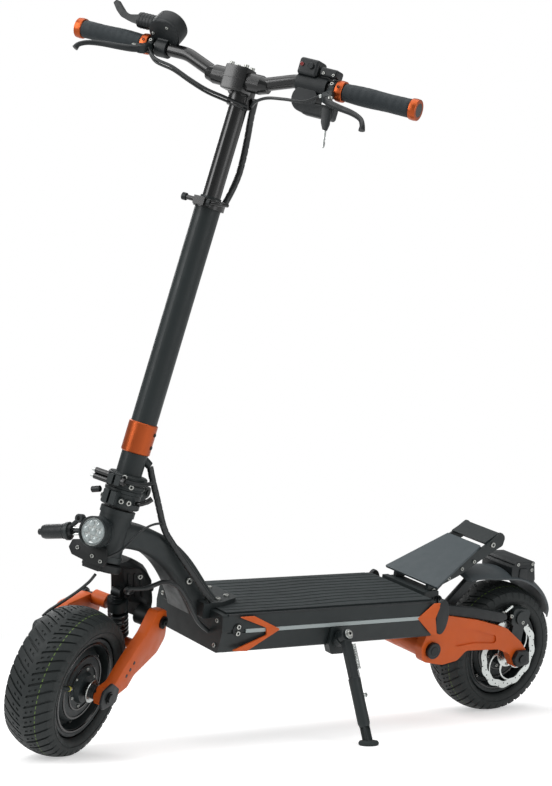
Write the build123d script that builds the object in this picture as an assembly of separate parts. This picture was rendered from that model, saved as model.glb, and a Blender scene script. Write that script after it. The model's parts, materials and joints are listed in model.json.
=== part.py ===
"""Off-road electric scooter, parked on its side stand with the bars turned left.

Every piece is modelled upright with the bars straight, X forward, Y left and Z up, with the rear
axle above x = 0. The steered pieces then turn about the steering axis, and everything leans onto
the stand. Pieces on the steering column use axis coordinates: a forward, y left, s up the axis.
"""
from build123d import *
from math import atan2, cos, degrees, hypot, radians, sin, sqrt, tan
import os

# Stance
WHEELBASE = 961.0
LEAN = 12.7                   # towards the stand, to the left
STEER = 27.0                  # bars turned left, as parked
RAKE = 11.3
AXLE_AHEAD = 3.3              # front axle ahead of the steering axis

# Wheels
TYRE_R = 127.4
TYRE_W = 91.4
TREAD_EDGE_R = 116.5
TREAD_HALF = 42.0
BULGE_R = 101.0
BEAD_R = 79.0
BEAD_HALF = 33.0
LIP_R = 86.0
LIP_T = 3.4
FACE_GAP = 0.2                # between faces that seat on each other
RUN_GAP = 0.05                # radial, shaft in its bore
AXLE_R = 8.0
HUB_BOSS_R = 24.0
HUB_BOSS_HALF = 41.0
MOTOR_R = 63.0
MOTOR_HALF = 31.0
DISC_Y = 54.7
DISC_R = 70.2
DISC_T = 1.9
DISC_LOBES = 12
DISC_HOLE_R = 2.3
DISC_SPOKES = 6

# Deck
DECK_REAR = 245.0
DECK_FRONT = 727.0
DECK_TOP = 255.4
DECK_BOTTOM = 188.0
DECK_HALF = 101.0
DECK_TOP_HALF = 97.0
DECK_BOTTOM_HALF = 95.0
DECK_WALL = 4.0
BELT_Z = 227.0                # height of the light bars
CAP_T = 12.0
MAT_T = 2.6
MAT_TOP = DECK_TOP + FACE_GAP + MAT_T
MAT_HALF = 89.0
LIGHT_H = 7.0
LIGHT_D = 2.6
BATTERY = (390.0, 150.0, 44.0)

# Neck and steering column, heights s along the steering axis
CROWN_TOP = 209.0
CROWN_R = 33.0
HEAD_LOW = 212.0
HEAD_TOP = 300.0
HEAD_R = 27.5
STEERER_R = 17.5
HINGE_S = 336.0
HINGE_BACK = 43.0
FOLD_R = 31.0
FOLD_LOW = 304.0
STEM_R = 22.0
STEM_WALL = 3.0
STEM_TOP = 822.0
COLLAR_LOW = 397.0
COLLAR_HIGH = 449.0
COLLAR_R = 24.7
SLIDER_R = 15.9
SLIDER_LOW = 640.0
BAR_S = 1033.0
BAR_AHEAD = 26.0              # the bar lies ahead of the steering axis
HEIGHT_CLAMP_LOW = 818.0
HEIGHT_CLAMP_H = 20.0

# Handlebar
BAR_HALF = 322.0
BAR_RISE = 21.0
BAR_R = 11.1
CENTRE_R = 15.9
GRIP_LENGTH = 144.0
GRIP_IN = BAR_HALF - GRIP_LENGTH
RING_W = 13.0
RUBBER_IN = GRIP_IN + RING_W
CLAMP_HALF = 38.0
SLIDER_TOP = BAR_S - 19
LEVER_DROOP = (35.0, 23.0)    # left and right
LEVER_IN = 24.0
LEVER_OUT = 14.0
LEVER_CLAMP_R = 15.0
DISPLAY_R = 29.0
DISPLAY_TILT = 40.0
CLEAR = 0.6
GRIP_R = 16.5

# Arms, stand and tail
ARM_REAR_IN = 67.0
ARM_REAR_OUT = 85.0
ARM_FRONT_IN = 57.0
ARM_FRONT_OUT = 78.0
FRONT_PIVOT = (WHEELBASE - 146.0, 228.0)
REAR_PIVOT = (228.0, 158.0)
FRONT_CHEVRON = [(606, BELT_Z), (664, 253), (696, 253), (636, 231), (634, 218), (704, 194), (672, 192)]
REAR_CHEVRON = [(276, BELT_Z), (254, 254), (238, 254), (246, BELT_Z), (238, 193), (250, 193)]
STAND_PIVOT = (472.0, 120.0, 211.0)
STAND_FOOT = (479.0, 237.0)   # on the ground, beside the leaned scooter
KNUCKLE = 16.0
SPRING_BACK = -13.8
EYE_HALF, EYE_PIN_R = 9.0, 4.9
SHOCK_TOP, SHOCK_LOW = (216.0, 240.0), (144.0, 214.0)
FRONT_SHOCK_TOP, FRONT_SHOCK_LOW = (WHEELBASE - 116.0, 262.0), (WHEELBASE - 153.0, 168.0)
REST_FRONT, REST_REAR = (230.0, 275.0), (108.0, 343.0)
REST_FRONT_HALF, REST_REAR_HALF, REST_T = 75.0, 47.0, 4.0
REST_SEAT = 262.0             # top of the rear casting, where the footrest stands
HANDLE_HALF, CHEEK_T = 50.0, 4.0
FENDER_C, FENDER_HALF, FENDER_AHEAD = (0.0, 140.0), 48.0, 112.0
FENDER_R = TYRE_R + 25.6
FENDER_T, FENDER_CROWN, FENDER_ARC = 3.0, 13.0, 70.0

# Lamp, damper and cords, in axis coordinates
LAMP_A, LAMP_S, LAMP_R = 66.0, 258.0, 25.0
DAMPER_IN, DAMPER_OUT = (38.0, -58.0, 243.0), (38.0, -122.0, 224.0)
HARNESS_R = 5.5
HARNESS_BAR = [(2, 28, BAR_S - 23.3), (-12, 28, 990), (-32, 27, 955), (-42, 26, 915), (-40, 23, 872),
               (-26.5, 14, HEIGHT_CLAMP_LOW + HEIGHT_CLAMP_H - 3.6)]
HARNESS_STEM = [(-24.5, 21.5, 380.5), (-30, 29, 362), (-37, 38, 343), (-44, 47, 323), (-52, 55, 303)]

FWD = Vector(cos(radians(RAKE)), 0, sin(radians(RAKE)))
UP = Vector(-sin(radians(RAKE)), 0, cos(radians(RAKE)))
COLUMN_O = Vector(WHEELBASE, 0, TYRE_R) - FWD * AXLE_AHEAD
COLUMN = Plane(origin=COLUMN_O, x_dir=FWD, z_dir=UP)
STEER_AXIS = Axis(COLUMN_O, UP)
FRONT_AXLE = (WHEELBASE, TYRE_R)
REAR_AXLE = (0.0, TYRE_R)


def flat(points, radii=0):
    """A closed face from outline points, with one corner radius or one for each corner."""
    if not radii:
        return make_face(Polyline(*points, close=True))
    each = radii if isinstance(radii, (list, tuple)) else [radii] * len(points)
    return make_face(FilletPolyline(*points, radius=list(each), close=True))


def side(points, y0, y1, radii=0):
    """A side-view outline, in x and z, extruded across from y0 to y1."""
    face = Plane.XZ * flat(points, radii)
    return Pos(0, y0, 0) * extrude(face, amount=y1 - y0, dir=(0, 1, 0))


def plan(points, z0, z1, radii=0):
    """A plan outline, in x and y, extruded up from z0 to z1."""
    return Pos(0, 0, z0) * extrude(flat(points, radii), amount=z1 - z0)


def rod(start, end, r):
    """A round bar between two points."""
    start, end = Vector(*start), Vector(*end)
    way = end - start
    along = Plane(origin=start, z_dir=way)
    return along * Cylinder(r, way.length, align=(Align.CENTER, Align.CENTER, Align.MIN))


def across(x, z, y0, y1, r):
    """A round bar lying across the scooter."""
    return rod((x, y0, z), (x, y1, z), r)


def turned_y(points):
    """A turned piece about the Y axis, from an outline in radius and y."""
    face = points if isinstance(points, Sketch) else flat(points)
    return revolve(face, axis=Axis.Y)


def upright_ring(s0, s1, r_out, r_in=0):
    """A ring or drum on the steering axis, in axis coordinates."""
    ring = Pos(0, 0, s0) * Cylinder(r_out, s1 - s0, align=(Align.CENTER, Align.CENTER, Align.MIN))
    if r_in:
        ring -= Pos(0, 0, s0 - 1) * Cylinder(r_in, s1 - s0 + 2, align=(Align.CENTER, Align.CENTER, Align.MIN))
    return ring


def box(x0, x1, y0, y1, z0, z1):
    return Pos((x0 + x1) / 2, (y0 + y1) / 2, (z0 + z1) / 2) * Box(x1 - x0, y1 - y0, z1 - z0)


def both(piece):
    """The piece and its mirror image on the other side."""
    return [piece, mirror(piece, about=Plane.XZ)]


def pair(piece):
    """The piece and its mirror image as one node."""
    return piece + mirror(piece, about=Plane.XZ)


def ahead_of_deck(share):
    """An x between the deck's front end and the front axle."""
    return DECK_FRONT + share * (WHEELBASE - DECK_FRONT)


def along_column(s):
    """The side-view point of the steering axis at height s."""
    p = COLUMN_O + UP * s
    return p.X, p.Z


def tyre():
    """Turned outline: round crown, bulging walls and the bead against the rim."""
    top, half = TREAD_EDGE_R, TREAD_HALF
    low_r, low_y = LIP_R + 2, BEAD_HALF + LIP_T + 2
    wall_low = ThreePointArc((low_r, -low_y), (BULGE_R, -TYRE_W / 2), (top, -half))
    wall_high = ThreePointArc((low_r, low_y), (BULGE_R, TYRE_W / 2), (top, half))
    crown = ThreePointArc((top, half), (TYRE_R, 0), (top, -half))
    bead = Polyline((low_r, -low_y), (LIP_R + 0.5, -BEAD_HALF), (BEAD_R, -BEAD_HALF), (BEAD_R, BEAD_HALF),
                    (LIP_R + 0.5, BEAD_HALF), (low_r, low_y))
    return turned_y(make_face([bead, wall_low, crown, wall_high]))


def hub(disc_side):
    """Rim, motor drum and bosses in one turned piece; disc_side is 1 for left or -1 for right."""
    lip_in = BEAD_HALF + FACE_GAP
    half = [(AXLE_R + RUN_GAP, HUB_BOSS_HALF), (HUB_BOSS_R, HUB_BOSS_HALF), (HUB_BOSS_R + 3, MOTOR_HALF + 2),
            (MOTOR_R - 6, MOTOR_HALF), (MOTOR_R, MOTOR_HALF - 6), (MOTOR_R, 16), (70, 16), (71, 20),
            (73.5, lip_in + 1), (LIP_R - 1.5, lip_in + LIP_T), (LIP_R, lip_in + LIP_T - 1.2), (LIP_R, lip_in),
            (BEAD_R - FACE_GAP, lip_in)]
    piece = turned_y(half + [(r, -y) for r, y in reversed(half)])
    seat = DISC_Y - DISC_T / 2
    return piece + turned_y([(AXLE_R + RUN_GAP, disc_side * 40), (27, disc_side * 40), (27, disc_side * seat),
                             (AXLE_R + RUN_GAP, disc_side * seat)])


def brake_disc(disc_side):
    """Wave-edged disc with curved spokes, on the seat of the hub."""
    step = 360 / DISC_LOBES
    face = Circle(DISC_R - 2.2)
    for k in range(DISC_LOBES):
        face += Rot(0, 0, k * step) * Pos(DISC_R - 13, 0) * Circle(13)
    face -= Circle(54)
    inner = Circle(29)
    spokes = []
    for k in range(DISC_SPOKES):
        turn_k = Rot(0, 0, k * 360 / DISC_SPOKES)
        mid = ThreePointArc((27, 0), (44, 8), (57, 25))
        spokes.append(turn_k * trace(mid, line_width=6))
    face = face + inner
    for spoke in spokes:
        face += spoke
    face -= Circle(AXLE_R + 8)
    for k in range(2 * DISC_LOBES):
        r_hole = 65.5 if k % 2 == 0 else 59.5
        face -= Rot(0, 0, k * step / 2) * Pos(r_hole, 0) * Circle(DISC_HOLE_R)
    disc = extrude(face, amount=DISC_T)
    y0 = DISC_Y - DISC_T / 2
    if disc_side > 0:
        return Pos(0, y0, 0) * Rot(-90, 0, 0) * disc
    return Pos(0, -y0, 0) * Rot(90, 0, 0) * disc


def axle(arm_in, arm_out, disc_side):
    """Fixed axle with spacers inside the arms and nuts outside, about the origin."""
    gap = 0.5
    seat_out = DISC_Y + DISC_T / 2
    piece = across(0, 0, -arm_out - 13, arm_out + 13, AXLE_R)
    for way in (1, -1):
        inner = (seat_out if way == disc_side else HUB_BOSS_HALF) + gap
        spacer = across(0, 0, inner, arm_in - FACE_GAP, 12)
        nut = Pos(0, arm_out + FACE_GAP, 0) * Rot(-90, 0, 0) * extrude(RegularPolygon(11, 6), amount=9)
        washer = across(0, 0, arm_out + FACE_GAP, arm_out + 2.4, 14)
        for extra in (spacer, nut, washer):
            piece += extra if way > 0 else mirror(extra, about=Plane.XZ)
    return piece


def rear_arm_outline():
    px, pz = REAR_PIVOT
    return [(px + 17, pz + 30), (px - 2, pz + 68), (122, 209), (44, 189), (2, 160), (-18, 140), (-16, 114),
            (8, 108), (28, 138), (60, 148), (140, 151), (160, 133), (196, 127), (px + 20, pz - 22), (px + 26, pz + 6)]


def rear_swingarm():
    """Two cast blades, the cross member ahead of the tyre and the pivot barrel."""
    radii = [8, 6, 30, 40, 30, 12, 12, 8, 14, 14, 14, 14, 20, 16, 12]
    blade = side(rear_arm_outline(), ARM_REAR_IN, ARM_REAR_OUT, radii)
    relief = side([(170, 160), (120, 164), (64, 160), (70, 176), (125, 190), (172, 196)], ARM_REAR_OUT - 3, 99, 6)
    blade -= relief
    px, pz = REAR_PIVOT
    cross = side([(px + 10, pz + 24), (px - 8, pz + 44), (172, 196), (160, 184), (164, 150), (px - 20, pz - 18),
                  (px + 12, pz - 18)], -ARM_REAR_IN - 1, ARM_REAR_IN + 1, 6)
    arm = blade + mirror(blade, about=Plane.XZ) + cross
    arm += across(px, pz, -ARM_REAR_OUT, ARM_REAR_OUT, 20)
    lx, lz = SHOCK_LOW
    arm += pair(side([(170, 186), (lx + 8, lz + 2), (lx, lz + 9), (lx - 8, lz), (158, 172)], EYE_HALF + 1,
                     EYE_HALF + 6, 3)) + across(lx, lz, -EYE_HALF - 6, EYE_HALF + 6, EYE_PIN_R)
    arm -= across(px, pz, -99, 99, 8.2)
    return arm - across(*REAR_AXLE, -99, 99, AXLE_R + FACE_GAP)


def rear_pivot():
    """Pivot bolt with its caps, and the lugs that hang it from the deck."""
    px, pz = REAR_PIVOT
    piece = across(px, pz, -ARM_REAR_OUT - 5, ARM_REAR_OUT + 5, 8)
    for cap in both(across(px, pz, ARM_REAR_OUT + FACE_GAP, ARM_REAR_OUT + 5, 15)):
        piece += cap
    return piece


def coil_shock(top, bottom, r, turns, eye):
    """Damper body, rod and a stack of spring coils between two eyes, in side view."""
    (tx, tz), (bx, bz) = top, bottom
    length = hypot(tx - bx, tz - bz)
    pitch = (length - 2 * eye - 16) / turns
    start = eye + 8
    core = [(0, eye - 3), (7, eye - 3), (7, start - 4), (r, start - 2), (r, start)]
    for k in range(turns):
        base = start + k * pitch
        core += [(r, base + 0.55 * pitch), (r - 5, base + 0.62 * pitch), (r - 5, base + 0.93 * pitch),
                 (r, base + pitch)]
    core += [(r, length - start + 2), (7, length - start + 4), (7, length - eye + 3), (0, length - eye + 3)]
    body = revolve(flat(core), axis=Axis.Y)
    for y in (0, length):
        body += rod((0, y, -EYE_HALF), (0, y, EYE_HALF), eye)
        body -= rod((0, y, -20), (0, y, 20), EYE_PIN_R + RUN_GAP)
    lay = Plane(origin=(bx, 0, bz), x_dir=(tz - bz, 0, bx - tx), z_dir=(0, -1, 0))
    return lay * body


def deck_section(inset):
    return [(DECK_BOTTOM_HALF - inset, DECK_BOTTOM + inset), (DECK_HALF - inset, BELT_Z),
            (DECK_TOP_HALF - inset, DECK_TOP - inset), (-DECK_TOP_HALF + inset, DECK_TOP - inset),
            (-DECK_HALF + inset, BELT_Z), (-DECK_BOTTOM_HALF + inset, DECK_BOTTOM + inset)]


def lengthwise(points, x0, x1, radii=0):
    """A front-view outline, in y and z, extruded from x0 to x1."""
    face = Plane.YZ * flat(points, radii)
    return Pos(x0, 0, 0) * extrude(face, amount=x1 - x0)


def deck_shell():
    """Extruded tray with light-bar grooves, open at both ends."""
    x0, x1 = DECK_REAR + CAP_T, DECK_FRONT - CAP_T
    shell = lengthwise(deck_section(0), x0, x1, [5, 2, 4, 4, 2, 5])
    hollow = [(DECK_BOTTOM_HALF - DECK_WALL - 4, DECK_BOTTOM + DECK_WALL), (DECK_HALF - DECK_WALL - 6, BELT_Z),
              (DECK_TOP_HALF - DECK_WALL - 4, DECK_TOP - DECK_WALL)]
    shell -= lengthwise(hollow + [(-y, z) for y, z in reversed(hollow)], x0 - 1, x1 + 1, 3)
    for groove in both(box(x0 - 1, x1 + 1, DECK_HALF - LIGHT_D, DECK_HALF + 9, BELT_Z - LIGHT_H / 2,
                           BELT_Z + LIGHT_H / 2)):
        shell -= groove
    return shell


def deck_cap(x0, x1):
    """Cast end cap over the full deck section."""
    return lengthwise(deck_section(0), x0, x1, [6, 3, 6, 6, 3, 6])


def battery_pack():
    length, width, height = BATTERY
    floor = DECK_BOTTOM + DECK_WALL + 1
    return box(360, 300 + length, -width / 2, width / 2, floor, floor + height)


def deck_mat():
    """Rubber mat, notched round the neck's root pad."""
    notch = [(715, 64), (702, 61), (646, 38)]
    half = [(DECK_REAR + 6, MAT_HALF), (715, MAT_HALF)] + notch
    return plan(half + [(x, -y) for x, y in reversed(half)], DECK_TOP + FACE_GAP, MAT_TOP, 2)


def light_bars():
    """Light strips in the deck's side grooves."""
    half = LIGHT_H / 2 - FACE_GAP
    return pair(box(DECK_REAR + 30, DECK_FRONT - 50, DECK_HALF - LIGHT_D + FACE_GAP, DECK_HALF + 0.6,
                    BELT_Z - half, BELT_Z + half))


def chevrons(outline, thick, radius):
    """Wedge trim on both sides of the deck, as thick as given."""
    return pair(side(outline, DECK_HALF + 0.8, DECK_HALF + thick, radius))


def neck():
    """Head tube, gooseneck and root pad in one casting."""
    head = COLUMN * upright_ring(HEAD_LOW, HEAD_TOP, HEAD_R)
    head += COLUMN * upright_ring(HEAD_LOW, HEAD_LOW + 10, HEAD_R + 2)
    head += COLUMN * upright_ring(HEAD_TOP - 10, HEAD_TOP, HEAD_R + 2)
    # share of the way to the front axle, z, slope down towards the rear, half width, half depth
    sections = [(0.765, 376, 0, 22, 20), (0.526, 369, 14, 26, 21), (0.312, 343, 40, 30, 23), (0.128, 299, 50, 35, 25),
                (-0.021, 250, 58, 44, 30)]
    faces = []
    for share, z, slope, half_w, half_h in sections:
        x = ahead_of_deck(share)
        back = Vector(-cos(radians(slope)), 0, -sin(radians(slope)))
        faces.append(Plane(origin=(x, 0, z), x_dir=(0, 1, 0), z_dir=back) * RectangleRounded(2 * half_w, 2 * half_h, 12))
    goose = loft(faces)
    pad = plan([(742, 60), (700, 57), (652, 34), (652, -34), (700, -57), (742, -60)], DECK_TOP + FACE_GAP,
               DECK_TOP + 11, [3, 20, 20, 20, 20, 3])
    nose = side([(727 + FACE_GAP, 240), (742, 240), (742, 266), (727 + FACE_GAP, 266)], -60, 60, 2)
    below = box(500, DECK_FRONT + FACE_GAP, -120, 120, 100, DECK_TOP + FACE_GAP) + box(500, 800, -120, 120, 100, 240)
    casting = head + (goose - below) + pad + nose
    return casting - COLUMN * upright_ring(HEAD_LOW - 1, HEAD_TOP + 1, STEERER_R + RUN_GAP)


def clear_of(piece, seat):
    """The piece cut back from what it seats on, a face gap above it."""
    return piece - seat - Pos(0, 0, FACE_GAP) * seat


def fork_yoke():
    """Steerer, crown and the cast yoke down to the arm pivots."""
    px, pz = FRONT_PIVOT
    cx, cz = along_column(CROWN_TOP)
    steerer = COLUMN * upright_ring(CROWN_TOP - 20, HINGE_S - 6, STEERER_R)
    steerer += COLUMN * upright_ring(CROWN_TOP - 26, CROWN_TOP, CROWN_R)
    body = side([(cx + 28, cz + 2), (cx + 22, cz - 28), (px + 69, pz + 40), (px + 59, pz + 12), (px + 21, pz - 8),
                 (px - 18, pz - 12), (px - 22, pz + 12), (px - 3, pz + 56), (px + 35, cz - 8)], -46, 46,
                [6, 12, 14, 12, 8, 10, 14, 20, 14])
    front_view = flat([(34, 345), (34, 312), (46, 284), (46, 200), (-46, 200), (-46, 284), (-34, 312), (-34, 345)])
    body &= Pos(px - 115, 0, 0) * extrude(Plane.YZ * front_view, amount=300)
    body -= box(px - 60, px + 51, -26, 26, pz - 48, pz + 48)
    body -= COLUMN * upright_ring(CROWN_TOP, CROWN_TOP + 60, 80)
    yoke = steerer + body
    for boss in both(across(px, pz, 27, ARM_FRONT_IN - FACE_GAP, 17)):
        yoke += boss
    for bore in both(across(px, pz, 20, 99, 6.2)):
        yoke -= bore
    return yoke + across(*FRONT_SHOCK_TOP, -27, 27, EYE_PIN_R)


def front_arm_outline():
    ahead = [(-164, 246), (-123, 251), (-81, 223), (-32, 188), (-1, 160), (21, 142), (21, 116), (-3, 106),
             (-21, 124), (-58, 137), (-100, 147), (-137, 158), (-164, 190), (-170, 224)]
    return [(WHEELBASE + x, z) for x, z in ahead]


def front_arms():
    """Curved leading arms, with the cross bar that carries the shock."""
    radii = [12, 14, 30, 40, 12, 12, 10, 12, 14, 20, 30, 22, 24, 12]
    blade = side(front_arm_outline(), ARM_FRONT_IN, ARM_FRONT_OUT, radii)
    px, pz = FRONT_PIVOT
    sx, sz = FRONT_SHOCK_LOW
    blade += across(sx, sz, EYE_HALF + 1, ARM_FRONT_IN + 1, 9)
    arms = pair(blade) + across(sx, sz, -20, 20, EYE_PIN_R)
    arms -= across(px, pz, -99, 99, 6.2)
    return arms - across(*FRONT_AXLE, -99, 99, AXLE_R + FACE_GAP)


def front_pivots():
    px, pz = FRONT_PIVOT
    head = across(px, pz, ARM_FRONT_OUT + FACE_GAP, ARM_FRONT_OUT + 6, 11)
    return pair(across(px, pz, 30, ARM_FRONT_OUT + 6, 6) + head)


def caliper(centre, centre_r, angle, disc_side, arm_in):
    """Two-sided brake caliper over the disc, with the bracket that seats on the arm, about the axle."""
    near = DISC_T / 2 + 2.5
    far = max(arm_in - DISC_Y - FACE_GAP, 12)
    body = Pos(0, 1, 0) * Box(44, 23, 34)
    body = fillet(body.edges().filter_by(Axis.Y), 8)
    body += Pos(0, 12, 0) * Rot(-90, 0, 0) * Cylinder(13, 8)
    body = Pos(0, 0, 5) * body - box(-30, 30, -near, near, -24, 12)
    body += box(-15, 15, near, far, -39, 11)
    away = Pos(0, disc_side * DISC_Y, centre_r)
    if disc_side < 0:
        body = mirror(body, about=Plane.XZ)
    return Pos(centre[0], 0, centre[1]) * Rot(0, angle, 0) * away * body


def fold_base():
    """Lower half of the folding joint, clamped on the steerer."""
    base = upright_ring(FOLD_LOW, HINGE_S, FOLD_R, STEERER_R + FACE_GAP)
    ear = box(-HINGE_BACK, -20, 12.4, 22, HINGE_S - 20, HINGE_S - 1)
    ear += rod((-HINGE_BACK, 12.4, HINGE_S), (-HINGE_BACK, 22, HINGE_S), 10)
    lug = box(20, 46, 2, 12, FOLD_LOW + 4, HINGE_S - 6)
    for one in both(ear) + both(lug):
        base += one
    base -= box(20, 60, -2, 2, FOLD_LOW - 1, HINGE_S + 1)
    base += rod((-HINGE_BACK, -24, HINGE_S), (-HINGE_BACK, 24, HINGE_S), 4.9)
    return base


def fold_head():
    """Upper half of the folding joint, with the hinge tongue and its clamp."""
    head = upright_ring(HINGE_S + FACE_GAP, HINGE_S + 24, FOLD_R)
    head += box(-HINGE_BACK, -24, -12, 12, HINGE_S + 1, HINGE_S + 20)
    head += rod((-HINGE_BACK, -12, HINGE_S), (-HINGE_BACK, 12, HINGE_S), 10)
    head -= rod((-HINGE_BACK, -13, HINGE_S), (-HINGE_BACK, 13, HINGE_S), 4.9 + RUN_GAP)
    head -= upright_ring(HINGE_S - 40, HINGE_S + 60, STEM_R + FACE_GAP)
    for lug in both(box(26, 46, 2, 12, HINGE_S + 4, HINGE_S + 20)):
        head += lug
    return head


def stem_tube():
    tube = upright_ring(HINGE_S + FACE_GAP, STEM_TOP, STEM_R, STEM_R - STEM_WALL)
    tube += upright_ring(STEM_TOP - 40, STEM_TOP + 16, STEM_R - 4, SLIDER_R + RUN_GAP)
    tube += upright_ring(STEM_TOP - 40, STEM_TOP, STEM_R, SLIDER_R + RUN_GAP)
    tube += rod((-15, 13, 389), (-23, 20.5, 382), 7) - upright_ring(300, 500, STEM_R - STEM_WALL)
    return tube


def height_clamp():
    """Clamp ring at the column's top, with its ears and the quick-release rod."""
    low, rod_a = HEIGHT_CLAMP_LOW, STEM_R + 11
    clamp = upright_ring(low, low + HEIGHT_CLAMP_H - 4, STEM_R + 5, STEM_R + FACE_GAP)
    clamp += box(STEM_R, STEM_R + 18, -10, 10, low + 1, low + 15) - upright_ring(0, low + 60, STEM_R + 1)
    return clamp + rod((rod_a, -34, low + 8), (rod_a, 18, low + 8), 4)


def handlebar_path():
    half = [(42, 0), (104, BAR_RISE), (BAR_HALF, BAR_RISE)]
    points = [(-y, z) for y, z in reversed(half)] + half
    return Plane.YZ * FilletPolyline(*points, radius=60)


def handlebar():
    path = handlebar_path()
    bar = sweep(Plane(origin=path @ 0, z_dir=path % 0) * Circle(BAR_R), path=path)
    bar += rod((0, -44, 0), (0, 44, 0), CENTRE_R)
    bar += pair(turned_y([(0, 43), (CENTRE_R, 43), (BAR_R + 0.4, 58), (0, 58)]))
    return Pos(0, 0, BAR_S) * bar


def grip():
    """Left grip: a barrel with a swell under the palm."""
    y0, y1 = RUBBER_IN, BAR_HALF - RING_W
    pts = [(BAR_R + FACE_GAP, y0), (14, y0), (15, y0 + 12), (GRIP_R, y0 + 42), (15.4, y0 + 70), (16.8, y0 + 92),
           (16.8, y1 - 6), (16, y1), (BAR_R + FACE_GAP, y1)]
    return Pos(0, 0, BAR_S + BAR_RISE) * turned_y(pts)


def grip_ring(y0, y1):
    bore, middle = BAR_R + FACE_GAP, (y0 + y1) / 2
    return Pos(0, 0, BAR_S + BAR_RISE) * turned_y([(bore, y0), (17, y0), (17.6, middle), (17, y1), (bore, y1)])


def brake_lever(droop):
    """Left lever: clamp on the bar and a curved blade, its plane turned down from level by droop."""
    g = RUBBER_IN
    outline = [(8, g - 24), (26, g - 22), (44, g - 12), (60, g + 16), (70, g + 50), (84, g + 74), (96, g + 84),
               (94, g + 94), (82, g + 92), (70, g + 78), (60, g + 54), (50, g + 22), (38, g), (22, g - 15), (8, g - 15)]
    blade = plan(outline, -5, 5, [2, 8, 12, 30, 30, 16, 4, 4, 6, 16, 30, 14, 6, 3, 2])
    body = rod((0, g - LEVER_IN, 0), (0, g - LEVER_OUT, 0), LEVER_CLAMP_R) + Rot(0, droop, 0) * blade
    return Pos(0, 0, BAR_S + BAR_RISE) * (body - rod((0, 0, 0), (0, BAR_HALF, 0), BAR_R + FACE_GAP))


def bar_clamp():
    """Saddle on the sliding tube, with the bolted face plate that holds the bar ahead of it."""
    low, high = BAR_S - 22, BAR_S + 22
    saddle = upright_ring(low - 18, high - 4, SLIDER_R + 5.5) + box(0, BAR_AHEAD, -22, 22, low, high - 6)
    plate = fillet(box(BAR_AHEAD - 16, BAR_AHEAD + 22, -CLAMP_HALF, CLAMP_HALF, low, high).edges(), 5)
    block = saddle + plate - rod((BAR_AHEAD, -60, BAR_S), (BAR_AHEAD, 60, BAR_S), CENTRE_R + FACE_GAP)
    return block - upright_ring(low - 30, SLIDER_TOP + FACE_GAP, SLIDER_R + FACE_GAP)


def tube_along(points, r):
    """A plain cord: straight runs joined by arcs as large as the runs allow."""
    runs = [(Vector(*b) - Vector(*a)) for a, b in zip(points, points[1:])]
    radii = []
    for before, after in zip(runs, runs[1:]):
        half_turn = radians(before.get_angle(after)) / 2
        radii.append(0.45 * min(before.length, after.length) / tan(half_turn))
    print("cord radii", [round(v) for v in radii])
    path = FilletPolyline(*points, radius=radii)
    return sweep(Plane(origin=path @ 0, z_dir=path % 0) * Circle(r), path=path)


def stand_way():
    """The leg's line, from the pivot to the foot on the ground."""
    foot = Vector(*to_upright((STAND_FOOT[0], STAND_FOOT[1], 0)))
    return foot - Vector(*STAND_PIVOT)


def crown_centre():
    """Radius of the circle of the tyre's crown, and its centre's distance from the axle."""
    rise = TYRE_R - TREAD_EDGE_R
    r = (TREAD_HALF ** 2 + rise ** 2) / (2 * rise)
    return r, TYRE_R - r


LEANED = Rot(-LEAN, 0, 0)


def touch(centre, axle_dir):
    """Height of the lowest point of a leaned tyre."""
    r, inner = crown_centre()
    return centre.Z - inner * sqrt(1 - axle_dir.Z ** 2) - r


def lean_vector(v):
    c, s = cos(radians(LEAN)), sin(radians(LEAN))
    return Vector(v.X, v.Y * c + v.Z * s, -v.Y * s + v.Z * c)


def steer_vector(v):
    return v.rotate(Axis((0, 0, 0), UP), STEER)


FRONT_C = COLUMN_O + steer_vector(Vector(WHEELBASE, 0, TYRE_R) - COLUMN_O)
REAR_LOW = touch(lean_vector(Vector(0, 0, TYRE_R)), lean_vector(Vector(0, 1, 0)))
FRONT_LOW = touch(lean_vector(FRONT_C), lean_vector(steer_vector(Vector(0, 1, 0))))
PITCH = degrees(atan2(FRONT_LOW - REAR_LOW, WHEELBASE))
GROUND = Pos(0, 0, -REAR_LOW) * Rot(0, PITCH, 0) * LEANED


def to_upright(p):
    """A point of the standing scooter, in the upright frame."""
    back = (GROUND.inverse() * Pos(*p)).position
    return back.X, back.Y, back.Z


def lamp_bracket():
    """Wedge plate on the crown's front, the lamp's post and the damper's tab, in axis coordinates."""
    wedge = flat([(24, CROWN_TOP - 4), (24, CROWN_TOP - 16), (-4, CROWN_TOP - 18), (-58, CROWN_TOP - 5),
                  (-64, CROWN_TOP + 13), (-50, CROWN_TOP + 23), (0, CROWN_TOP + 19)], 4)
    plate = Pos(34, 0, 0) * extrude(Plane.YZ * wedge, amount=8)
    plate += box(20, 36, -18, 18, CROWN_TOP - 18, CROWN_TOP - 8)
    plate -= upright_ring(0, 400, CROWN_R + FACE_GAP)
    plate += box(34, LAMP_A - 26.3, -9, 9, 222, LAMP_S + 4)
    return plate


def headlamp():
    body = rod((LAMP_A - 26, 0, LAMP_S), (LAMP_A, 0, LAMP_S), LAMP_R)
    body += rod((LAMP_A - 26.1, 0, LAMP_S), (LAMP_A - 20, 0, LAMP_S), LAMP_R + 1)
    body -= rod((LAMP_A - 5, 0, LAMP_S), (LAMP_A + 1, 0, LAMP_S), LAMP_R - 1.6)
    return body


def headlamp_lens():
    return rod((LAMP_A - 5 + FACE_GAP, 0, LAMP_S), (LAMP_A - 1, 0, LAMP_S), LAMP_R - 1.6 - FACE_GAP)


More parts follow.
